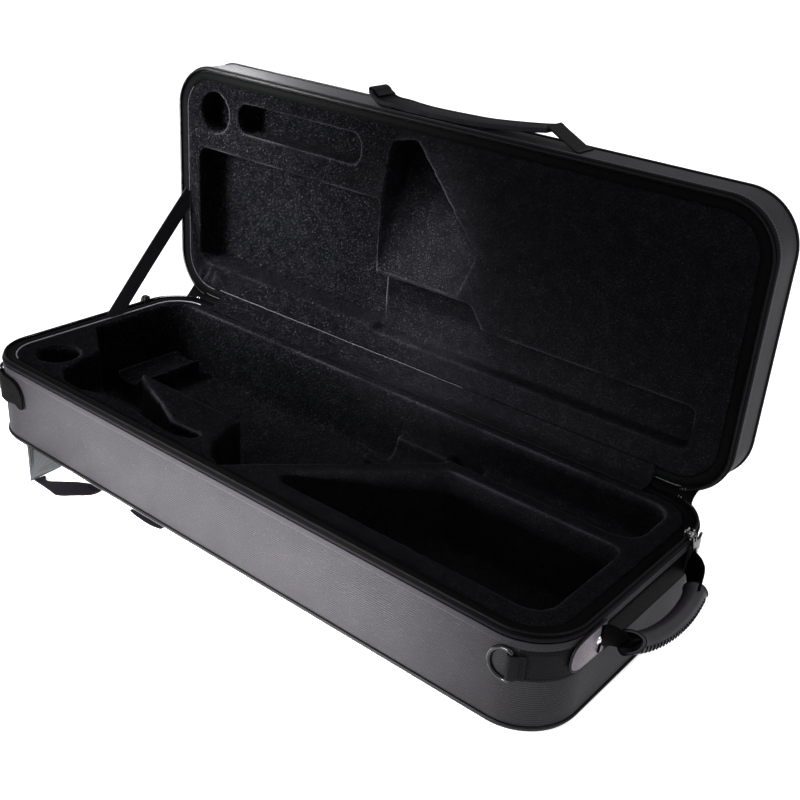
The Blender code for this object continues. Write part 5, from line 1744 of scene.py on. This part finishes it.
@dataclass
class EndGrip:
    """The padded grip on the right end, with its sleeve, core strap and sewn end tabs.

    Its middle line is half an ellipse round its hinge.

    Attributes:
        hinge: The middle of its hinge line.
        tilt: How far it hangs below level, as an angle.
        half_span: Half the ellipse's width.
        reach: How far its middle stands off its hinge line.
        radius: Half the sleeve's thickness.
        near_end: Angle from the front end to where the sleeve starts.
        far_end: Angle from the back end to where it ends.
        seam_turn: Angle round the sleeve to its seam.
    """

    hinge: Vector
    tilt: float = radians(32)
    half_span: float = 0.0815
    reach: float = 0.031
    radius: float = 0.0110
    near_end: float = radians(25)
    far_end: float = radians(48)
    seam_turn: float = 0.48

    def spot(self, across: float, out: float, lift: float = 0.0) -> Vector:
        """A place on the grip, from its middle, off its hinge line and square to its plane."""
        return self.hinge + Matrix.Rotation(self.tilt, 3, "Y") @ Vector((out, across, lift))

    def bow(self, turn: float, swell: float = 0.0, side: float = 1.0) -> Vector:
        """A place on or off the grip's middle line, by its angle round the ellipse from one end."""
        return self.spot(-side * self.half_span * cos(turn), self.reach * sin(turn) + swell)

    @property
    def square(self) -> Vector:
        """The direction square to the grip's plane."""
        return Matrix.Rotation(self.tilt, 3, "Y") @ UP

    def build(self) -> None:
        """Builds the sleeve, its seam, the core strap and the two tabs."""
        steps = 40
        sweep = pi - self.near_end - self.far_end
        line = [self.bow(self.near_end + sweep * k / steps) for k in range(steps + 1)]
        self.sleeve(line)
        core = line[1:-1]
        strip = strap(core, lambda _: self.square, [0.016] * len(core), 0.0024)
        strip.place("grip_core", Body.END_HANDLE, WEBBING, "end_grip_strap")
        bends = (radians(10), radians(24), self.near_end + 0.3)
        self.tab(TabForm("front", 1.0, 0.0995, 0.0040, 0.0, 0.0145, bends))
        bends = (radians(16), radians(32), self.far_end + 0.15)
        self.tab(TabForm("back", -1.0, 0.0900, 0.0, -0.0020, 0.0030, bends))

    def sleeve(self, line: list[Vector]) -> None:
        """The padded sleeve: hollow at both ends, with a sewn seam along its outer edge.

        Args:
            line: Its middle line.
        """
        count, sides, hollow, depth = len(line), 28, 0.82, 7
        square = self.square
        sections, inner = [], []
        seam: list[Vector] = []
        seam_out: list[Vector] = []
        for index, (here, tangent) in enumerate(zip(line, tangents(line))):
            away = tangent.cross(square).normalized()
            share = abs(index / (count - 1) - 0.5) * 2
            size = self.radius * (1.0 - 0.05 * (1 - share**2) + 0.1 * share**10)
            ring = []
            for t in (tau * k / sides for k in range(sides)):
                pinch = 1.0 + 0.06 * max(cos(t - self.seam_turn), 0.0) ** 24
                spoke = away * cos(t) + square * sin(t)
                ring.append(here + spoke * size * pinch + tangent * self.cut(t, index, count))
            sections.append(ring)
            inner.append([here + (p - here) * hollow for p in ring])
            spoke = away * cos(self.seam_turn) + square * sin(self.seam_turn)
            seam.append(here + spoke * size * 1.05)
            seam_out.append(spoke)
        shell = [*reversed(inner[:depth]), *sections, *reversed(inner[-depth:])]
        around = [0.0023 * k for k in range(sides)]
        sketch = Sketch().skin(shell, [0.004 * k for k in range(len(shell))], around)
        piece = sketch.place("grip_sleeve", Body.END_HANDLE, VINYL, "end_grip_pad", sharp=70.0)
        bars = stitches(Sketch(), seam[4:-2], seam_out[4:-2], 0.0050, (0.0007, 0.0042, 0.0009))
        bars.place("grip_stitching", Body.END_HANDLE, BLACK_THREAD)
        for name, ring in (("front", sections[0]), ("back", sections[-1])):
            lip = tube(ring, lambda _: 0.0007, 6, True)
            lip.place(f"grip_lip_{name}", Body.END_HANDLE, PIPING)

    @staticmethod
    def cut(turn: float, index: int, count: int) -> float:
        """How far a point near a mouth is moved along the sleeve, for the slanted cut of its ends.

        Args:
            turn: The point's angle round the sleeve.
            index: Its section.
            count: How many sections there are.

        Returns:
            The distance, toward the far end.
        """
        near = max(1.0 - index / 9.0, 0.0)
        far = max(1.0 - (count - 1 - index) / 5.0, 0.0)
        return (0.0150 * max(cos(turn - 1.35), 0.0) ** 1.3 * near
                + 0.007 * max(cos(turn + 0.45), 0.0) ** 8 * far)

    def tab(self, form: TabForm) -> None:
        """A webbing tab that tapers from the patch into the sleeve's mouth.

        Args:
            form: How it runs.
        """
        face = FORM.length / 2
        x, y, z = face + 0.0064, self.hinge.y - form.side * form.start, self.hinge.z
        points = [
            Vector((x, y, z + form.lift)),
            Vector((x + 0.0006, y + form.side * 0.0080, z + form.lift * 0.7)),
        ]
        points += [self.bow(turn, form.swell, form.side) for turn in form.bends]
        count = 17
        line = spline(points, count)
        cross = [UP.lerp(self.square, min(k / 10, 1.0)) for k in range(count)]
        widths = [0.0300 - form.slim * min(k / 14, 1.0) ** 1.6 for k in range(count)]
        sketch = strap(line, lambda k: cross[k], widths, 0.0026)
        piece = sketch.build(f"grip_tab_{form.name}", BLACK_CLOTH_AND_GROOVE_SHADE)
        bridge(piece, BLACK_CLOTH_AND_GROOVE_SHADE, (Body.BASE, Body.END_HANDLE), points[1], points[3])


@dataclass
class StrapRing:
    """A D ring on a front corner, with the webbing loop that holds it.

    Attributes:
        side: right or left.
        body: The ring's own body.
        corner: Which front corner, 0 at the right and 1 at the left.
        degrees_round: Where its bar stands, in degrees round the corner.
        heading: Direction of its bow in plan.
        middle: Height of its middle.
        half_tall: Half its height.
        straight: How far its sides run straight before the bow.
        bend: Radius of the bends at its bar.
        wire: Half the wire's thickness.
        bar_out: How far out of the wall its bar stands.
        loop_width: Width of the loop.
    """

    side: str
    body: Body
    corner: int
    degrees_round: float
    heading: float
    middle: float = 0.075
    half_tall: float = 0.017
    straight: float = 0.005
    bend: float = 0.003
    wire: float = 0.00225
    bar_out: float = 0.0041
    loop_width: float = 0.0270

    @property
    def mark(self) -> float:
        """Where its bar stands, along the rim."""
        return FORM.angle_mark(self.corner, self.degrees_round)

    def build(self) -> None:
        """Builds the ring and its loop."""
        axis = FORM.wall(self.mark, self.bar_out, self.middle)
        half, bend = self.half_tall, self.bend
        plan = arc((bend, half - bend), bend, pi, pi / 2, 5)
        plan += arc((self.straight, 0.0), half, pi / 2, -pi / 2, 36)
        plan += arc((bend, bend - half), bend, -pi / 2, -pi, 5)
        turn = Matrix.Rotation(self.heading, 3, "Z")
        line = [axis + turn @ Vector((x, 0.0, z)) for x, z in plan]
        wire = tube(line, lambda _: self.wire, 14, True)
        wire.place(f"ring_{self.side}", self.body, BLACK_METAL, f"d_ring_{self.side}")
        self.loop(axis)

    def loop(self, axis: Vector) -> None:
        """Webbing from the wall, round the bar and back, sewn down beside it.

        Args:
            axis: The middle of the bar.
        """
        away = FORM.rim(self.mark)[1]
        forward = Vector((away.y, -away.x, 0.0))
        round_bar, past = 0.0031, 0.2
        start = ((0.013, 0.0010), (0.009, 0.0011), (0.004, 0.0012))
        points = [self.beside(*spot) for spot in start]
        for step in range(7):
            turn = -pi / 2 - past + (pi + 2 * past) * step / 6
            points.append(axis + (forward * cos(turn) + away * sin(turn)) * round_bar)
        tail = ((0.0045, 0.0058), (0.0070, 0.0042), (0.0100, 0.0036), (0.0130, 0.0035))
        points += [self.beside(*spot) for spot in tail]
        line = spline(points, 52)
        sketch = strap(line, lambda _: UP, [self.loop_width] * len(line), 0.0013)
        sketch.place(f"loop_{self.side}", Body.BASE, LOOP, f"ring_loop_{self.side}")
        rows = Sketch()
        for back in (0.0085, 0.0105):
            line = [self.beside(back, 0.0046) + UP * (0.0115 * k / 4) for k in range(-4, 5)]
            stitches(rows, line, [away] * len(line), 0.0026, (0.0009, 0.0003, 0.00028))
        rows.place(f"loop_{self.side}_stitching", Body.BASE, BLACK_THREAD)

    def beside(self, back: float, out: float) -> Vector:
        """A place at the ring's height, back along the rim from its bar, and out of the wall."""
        return FORM.wall(self.mark - back, out, self.middle)


@dataclass
class CornerPatch:
    """The half-round patch over the left ring's loop.

    Attributes:
        corner: Which corner it covers, as in StrapRing.
        corners: Its outline, as degrees round that corner and height.
        rounding: How far each corner of its free edge is rounded.
    """

    corner: int = 1
    corners: tuple[Pair, ...] = (
        (30.5, 0.0900), (10.0, 0.0925), (-5.0, 0.0920), (-14.0, 0.0875),
        (-20.0, 0.0810), (-23.5, 0.0730), (-25.0, 0.0610), (-24.5, 0.0550),
        (-19.0, 0.0555), (-10.0, 0.0600), (10.0, 0.0560), (30.5, 0.0520),
    )
    rounding: float = 0.006

    def build(self) -> None:
        """Builds the patch."""
        corners = [(FORM.angle_mark(self.corner, turn), high) for turn, high in self.corners]
        radii = [0.001, *[self.rounding] * (len(corners) - 2), 0.001]
        rings = ((1.0, 0.0040), (1.0, 0.0060), (0.97, 0.0066), (0.9, 0.0064), (0.5, 0.0068),
                 (0.03, 0.0068))
        skin = wall_patch(rounded(corners, radii, 4), rings, 0.0040, 0.004)
        skin.place("corner_patch", Body.BASE, BLACK_VINYL, "ring_patch_left")


@dataclass
class ZipSlider:
    """A slider on a short side of the rim and the pull that hangs from it.

    Attributes:
        side: right or left.
        sharp: Angle in degrees above which an edge stays crisp.
    """

    side: str
    sharp: float = 35.0

    def dress(self, frame: dict) -> None:
        """Dresses the two nodes.
        """
        for part in ("slider", "pull"):
            mesh = frame["nodes"][f"zip_{part}_{self.side}"].data
            coat(mesh, GUN_METAL)
            mesh.shade_smooth()
            mesh.set_sharp_from_angle(angle=radians(self.sharp))


@dataclass
class CarryHandle:
    """The flat handle on the lid's front wall, curled at its left end, with webbing at both ends.

    Its routes are lists of (x, out): along the case, and out of the lid's front wall.

    Attributes:
        low: Height of its lower edge, on the shut lid.
        high: Height of its upper edge.
        thick: Its thickness.
        webbing_width: Width of the webbing at its ends.
        path: Route of the handle.
        left: Route of the left webbing.
        right: Route of the right webbing.
    """

    low: float = 0.1275
    high: float = 0.1655
    thick: float = 0.0055
    webbing_width: float = 0.030
    path: tuple[Pair, ...] = (
        (-0.0990, 0.0160), (-0.0935, 0.0105), (-0.0870, 0.0070), (-0.0780, 0.0056),
        (-0.0640, 0.0055), (-0.0450, 0.0042), (-0.0180, 0.0036), (0.0360, 0.0049),
        (0.0600, 0.0061), (0.0900, 0.0090), (0.1250, 0.0132), (0.1510, 0.0173),
    )
    left: tuple[Pair, ...] = (
        (-0.0660, 0.0013), (-0.0780, 0.0013), (-0.0865, 0.0016), (-0.0915, 0.0040),
        (-0.0970, 0.0090), (-0.1025, 0.0150), (-0.1022, 0.0192), (-0.0972, 0.0190),
        (-0.0915, 0.0146), (-0.0860, 0.0118),
    )
    right: tuple[Pair, ...] = (
        (0.1490, 0.0212), (0.1530, 0.0190), (0.1620, 0.0142), (0.1760, 0.0072),
        (0.1850, 0.0026), (0.1890, 0.0013), (0.1935, 0.0013),
    )

    @property
    def half(self) -> float:
        """Half its width."""
        return (self.high - self.low) / 2

    @property
    def cross(self) -> Vector:
        """The direction across it."""
        return (FORM.open_lid.to_3x3() @ UP).normalized()

    def spot(self, x: float, out: float) -> Vector:
        """A place off the lid's front wall at the handle's height, where the open lid has it."""
        return FORM.open_lid @ Vector((x, -FORM.width / 2 - out, (self.low + self.high) / 2))

    def build(self) -> None:
        """Builds the band, its stitches and the two webs with their feet."""
        line = spline([self.spot(x, out) for x, out in self.path], 60)
        self.band(line)
        self.stitching(line)
        self.web("left", self.left, (self.left[2], self.left[5]))
        self.web("right", self.right, (self.right[5], self.right[1]))

    def band(self, line: list[Vector]) -> None:
        """The flat band, with a raised cord along each edge.

        Args:
            line: Its middle line.
        """
        half, lift, cross = self.half, self.thick / 2, self.cross
        edge = [(half, -0.6), (half, 0.5), (half - 0.0012, 1.0), (half - 0.0030, 0.85),
                (half - 0.0045, 0.55), (half * 0.6, 0.8)]
        top = [(-a, t) for a, t in edge] + [(0.0, 0.95)] + edge[::-1]
        profile = [(a, lift * t) for a, t in top]
        profile += [(half - 0.0015, -lift), (0.0, -lift), (-half + 0.0015, -lift)]
        sections = []
        for here, tangent in zip(line, tangents(line)):
            through = tangent.cross(cross)
            if through.z < 0:
                through = -through
            sections.append([here + cross * a + through * t for a, t in profile])
        sketch = Sketch().skin(sections, lengths(line), [a for a, _ in profile])
        sketch.place("carry_grip", Body.TOP_HANDLE, HANDLE_VINYL, "carry_band")

    def stitching(self, line: list[Vector]) -> None:
        """A row of stitches inside each cord.

        Args:
            line: The band's middle line.
        """
        inset, lift = 0.0062, self.thick / 2 * 0.72
        rows = Sketch()
        for side in (-1, 1):
            row = [p + self.cross * side * (self.half - inset) + UP * lift for p in line]
            stitches(rows, row, [UP] * len(line), 0.0036, (0.0012, 0.0003, 0.0003))
        rows.place("carry_stitching", Body.TOP_HANDLE, BLACK_THREAD)

    def web(self, name: str, points: tuple[Pair, ...], ends: tuple[Pair, Pair]) -> None:
        """A webbing end between the lid's wall and the handle.

        Args:
            name: Which end.
            points: Its route.
            ends: Two points on its route, near the lid's wall and near the handle.
        """
        line = spline([self.spot(x, out) for x, out in points], 40)
        sketch = strap(line, lambda _: self.cross, [self.webbing_width] * len(line), 0.0018)
        piece = sketch.build(f"carry_webbing_{name}", WEBBING)
        start, end = (self.spot(x, out) for x, out in ends)
        nodes = (f"carry_web_{name}", f"carry_foot_{name}")
        bridge(piece, WEBBING, (Body.LID, Body.TOP_HANDLE), start, end, *nodes)


@dataclass
class StrapEnd:
    """A sewn tab at the bottom seam with the webbing that leaves it, on the floor.

    Its corners and edges are (x, y), with y measured from the case's middle toward its own side.

    Attributes:
        name: front or back.
        side: -1 at the front and 1 at the back.
        left: The tab's left corner, at the seam.
        right: Its right corner, at the seam.
        tip: Its free corner.
        seam: How far out the seam is.
        thick: The tab's thickness.
        bulge: How far the tab swells.
    """

    name: str
    side: float
    left: Pair = (-0.352, 0.1638)
    right: Pair = (-0.278, 0.1638)
    tip: Pair = (-0.275, 0.2098)
    seam: float = 0.1640
    thick: float = 0.0024
    bulge: float = 0.0012

    def floor(self, x: float, y: float, z: float) -> Vector:
        """A place on or over the floor on this side."""
        return Vector((x, self.side * y, z))

    @property
    def corners(self) -> list[Vector]:
        """The tab's left, right and free corners."""
        return [Vector((*corner, 0.0)) for corner in (self.left, self.right, self.tip)]

    def build(self) -> None:
        """Builds the tab, its stitching and the two pieces of webbing."""
        self.tab()
        self.stitching()
        outer = [(-0.2737, 0.2055), (-0.2580, 0.2060), (-0.2400, 0.2068), (-0.2260, 0.2070),
                 (-0.2130, 0.1945), (-0.1990, 0.1776), (-0.1980, self.seam)]
        inner = [(-0.2727, 0.1900), (-0.2575, 0.1980), (-0.2430, 0.1890), (-0.2355, 0.1836),
                 (-0.2260, 0.1740), (-0.2180, 0.1670), (-0.2180, self.seam)]
        self.flat_web("strap_webbing", outer, inner, 0.0040, f"strap_web_{self.name}")
        outer = [(-0.1394, 0.1675), (-0.1290, 0.1694), (-0.1187, 0.1701), (-0.1008, 0.1707),
                 (-0.0869, 0.1682), (-0.0840, 0.1660)]
        inner = [(x, self.seam) for x, _ in outer]
        self.flat_web("strap_bow", outer, inner, 0.0, f"strap_bend_{self.name}")

    def tab(self) -> None:
        """The three-cornered tab."""
        left, right, tip = self.corners
        rows, columns = 14, 7
        sections = []
        for share in (row / rows for row in range(rows + 1)):
            start, end = left.lerp(tip, share), right.lerp(tip, share)
            lift = self.bulge * sin(pi * share)
            top, low = [], []
            for step in range(columns):
                spot = start.lerp(end, step / (columns - 1) * 0.97 + 0.015)
                top.append(self.floor(spot.x, spot.y, self.thick + lift))
                low.append(self.floor(spot.x, spot.y, 0.0001))
            sections.append(top + low[::-1])
        along = [0.0033 * k for k in range(rows + 1)]
        sketch = Sketch().skin(sections, along, [0.01 * k / 6 for k in range(2 * columns)])
        sketch.place(f"tab_{self.name}", Body.BASE, STRAP_CLOTH, f"strap_tab_{self.name}")

    def stitching(self) -> None:
        """Two rows of stitches along each free edge of the tab."""
        left, right, tip = self.corners
        rows, steps = Sketch(), 8
        for inset in (0.1, 0.17):
            for near, other in ((left, right), (right, left)):
                first = near.lerp(other, inset)
                last = tip.lerp((left + right) / 2, inset * 1.4)
                line = []
                for share in (k / steps for k in range(steps + 1)):
                    spot, high = first.lerp(last, share), self.bulge * sin(pi * share)
                    line.append(self.floor(spot.x, spot.y, self.thick + 0.0002 + high))
                stitches(rows, line, [UP] * len(line), 0.0030, (0.0011, 0.00035, 0.0003))
        rows.place(f"tab_{self.name}_stitching", Body.BASE, BLACK_THREAD)

    def flat_web(
        self, what: str, outer: list[Pair], inner: list[Pair], lift: float, node: str
    ) -> None:
        """Webbing between two edges on the floor.

        Args:
            what: The piece's name, before its side.
            outer: Its outer edge.
            inner: Its inner edge.
            lift: How far its inner edge rises at mid length.
            node: The node that it stands for.
        """
        count, columns = 25, 6
        far, near = (
            spline([self.floor(x, y, 0.0) for x, y in edge], count) for edge in (outer, inner)
        )
        sections = []
        for row, (start, end) in enumerate(zip(far, near)):
            bow = sin(pi * row / (count - 1))
            top, low = [], []
            for share in (k / (columns - 1) for k in range(columns)):
                spot = start.lerp(end, share)
                rise = bow * lift * share
                top.append(spot + UP * (0.0019 + rise))
                low.append(spot + UP * (0.0001 + rise))
            sections.append(top + low[::-1])
        marks = [0.004 * k for k in range(columns)]
        sketch = Sketch().skin(sections, lengths(far), marks + marks[::-1])
        sketch.place(f"{what}_{self.name}", Body.BASE, WEBBING, node)


@dataclass(frozen=True)
class Lamp:
    """An area light.

    Attributes:
        name: Its name.
        place: Where it stands.
        aim: What it faces.
        power: Its power in watts.
        size: Its width and height.
        spread: Angle in degrees that its light fills.
    """

    name: str
    place: Triple
    aim: Triple
    power: float
    size: Pair
    spread: float = 180.0

    def build(self) -> None:
        """Builds the lamp, which the camera doesn't see."""
        light = bpy.data.lights.new(self.name, "AREA")
        light.spread = radians(self.spread)
        light.shape = "RECTANGLE"
        light.size, light.size_y = self.size
        light.energy = self.power
        lamp = put_in_scene(self.name, light)
        lamp.location = self.place
        lamp.visible_camera = False
        beam = Vector(self.aim) - Vector(self.place)
        lamp.rotation_euler = beam.to_track_quat("-Z", "Y").to_euler()


LAMPS = (
    Lamp("front lamp", (-0.03, -0.48, 0.13), (-0.03, -0.163, 0.040), 4.6, (0.66, 0.10), 70),
    Lamp("top left lamp", (-0.45, 0.25, 0.57), (-0.36, 0.2, 0.44), 2.6, (0.1, 0.1)),
    Lamp("left lamp", (-0.48, -0.12, 0.42), (-0.25, 0.18, 0.25), 4.0, (0.12, 0.12), 80),
    Lamp("lid lamp", (0.03, -0.06, 0.62), (0.0, 0.19, 0.225), 0.5, (0.06, 0.06), 30),
    Lamp("right lamp", (0.80, -0.05, 0.40), (0.43, 0.0, 0.06), 1.0, (0.3, 0.3)),
)


@dataclass
class Studio:
    """The pale floor, the soft lights and the camera.

    Attributes:
        azimuth: Angle of the camera round the case, from the front.
        elevation: Angle above level.
        distance: From the camera to what it looks at.
        target: What it looks at.
        roll: How far it leans.
        focal: Focal length over the picture's width.
        reach: Half the floor's width.
        drop: How far under the case the floor lies.
        glow: Strength of the floor's own light.
        sky: Strength of the surround.
        sun_power: Strength of the light from above.
        sun_spread: Angle that it comes from.
    """

    azimuth: float = radians(37.524)
    elevation: float = radians(26.272)
    distance: float = 1.400861
    target: Triple = (0.006421, 0.146132, 0.092695)
    roll: float = radians(4.287)
    focal: float = 1105.154 / 800.0
    reach: float = 9.0
    drop: float = 0.0004
    glow: float = 0.5
    sky: float = 0.5
    sun_power: float = 1.6
    sun_spread: float = radians(120)

    def build(self) -> None:
        """Builds all of it."""
        self.floor()
        self.lights()
        self.camera()

    def floor(self) -> None:
        """A wide pale floor."""
        mesh = bpy.data.meshes.new("floor")
        corners = ((-1, -1), (1, -1), (1, 1), (-1, 1))
        places = [(x * self.reach, y * self.reach, -self.drop) for x, y in corners]
        mesh.from_pydata(places, [], [(0, 1, 2, 3)])
        made = bpy.data.materials.new("studio floor")
        made.use_nodes = True
        shader = made.node_tree.nodes["Principled BSDF"]
        shader.inputs["Base Color"].default_value = (0.92, 0.92, 0.93, 1.0)
        shader.inputs["Roughness"].default_value = 0.9
        shader.inputs["Emission Color"].default_value = (1.0, 1.0, 1.0, 1.0)
        shader.inputs["Emission Strength"].default_value = self.glow
        mesh.materials.append(made)
        put_in_scene("floor", mesh)

    def lights(self) -> None:
        """A bright surround, light from above, and lamps before the wall and at the left."""
        world = bpy.context.scene.world or bpy.data.worlds.new("studio")
        bpy.context.scene.world = world
        world.use_nodes = True
        bpy.context.scene.view_settings.view_transform = "Standard"
        surround = world.node_tree.nodes["Background"]
        surround.inputs["Color"].default_value = (1.0, 1.0, 1.0, 1.0)
        surround.inputs["Strength"].default_value = self.sky
        for lamp in LAMPS:
            lamp.build()
        sun = bpy.data.lights.new("overhead light", "SUN")
        sun.energy = self.sun_power
        sun.angle = self.sun_spread
        put_in_scene("overhead light", sun)

    def camera(self) -> None:
        """The camera at the photograph's angle."""
        a, e, r = self.azimuth, self.elevation, self.roll
        back = Vector((sin(a) * cos(e), -cos(a) * cos(e), sin(e)))
        right = UP.cross(back).normalized()
        up = back.cross(right)
        level = right * cos(r) + up * sin(r)
        tall = up * cos(r) - right * sin(r)
        lens = bpy.data.cameras.new("camera")
        lens.sensor_width = 36.0
        lens.sensor_fit = "HORIZONTAL"
        lens.lens = self.focal * lens.sensor_width
        camera = put_in_scene("camera", lens)
        frame = Matrix((level, tall, back)).transposed().to_4x4()
        frame.translation = Vector(self.target) + back * self.distance
        camera.matrix_world = frame
        bpy.context.scene.camera = camera


def main() -> None:
    """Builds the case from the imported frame, piece by piece."""
    logging.basicConfig(level=logging.INFO, format="%(message)s")
    # mathutils seeds its noise by the clock, and the case has to come out the same each time
    noise.seed_set(SEED)
    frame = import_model()
    for shell in ("base_shell", "lid_shell"):
        coat(frame["nodes"][shell].data, BOARD)
    CaseHalf(
        body=Body.BASE,
        rim_height=FORM.base_depth,
        growth=-1,
        depth=FORM.base_depth,
        turn=Matrix(),
        wall=RIBBED,
        panel=PANEL_RIBBED,
        face_node="base_bottom_cover",
        crown=0.0,
        binding=0.0116,
        stitched=0.0107,
        thread=GREY_THREAD,
        seam_start=0.955,
        seam_end=1.333,
        seam=PALE_SEAM_HIGHLIGHT,
    ).build()
    CaseHalf(
        body=Body.LID,
        rim_height=FORM.base_depth + FORM.gap,
        growth=1,
        depth=FORM.lid_depth,
        turn=FORM.open_lid,
        wall=LID_RIBBED,
        panel=TOP_RIBBED,
        face_node="lid_top_cover",
        crown=0.0015,
        binding=0.0085,
        stitched=0.0056,
        thread=THREAD,
        seam_start=0.985,
        seam_end=1.34,
        seam=SEAM_HIGHLIGHT,
    ).build()
    PlushForm("plush_bed", Body.BASE, BED, lip=0.6).build(frame)
    PlushForm("lid_plush", Body.LID, LINING, pressed=0.175, creases=FOLDS).build(frame)
    HingeCloth().build()
    EndBand().build()
    EndGrip(Vector((0.4387, 0.0095, 0.085))).build()
    StrapRing("right", Body.RIGHT_RING, 0, 72.5, pi + radians(3)).build()
    StrapRing("left", Body.LEFT_RING, 1, 36.0, radians(-226)).build()
    CornerPatch().build()
    for side in ("right", "left"):
        ZipSlider(side).dress(frame)
    CarryHandle().build()
    StrapEnd("front", -1.0).build()
    StrapEnd("back", 1.0).build()
    Studio().build()


if __name__ == "__main__":
    main()
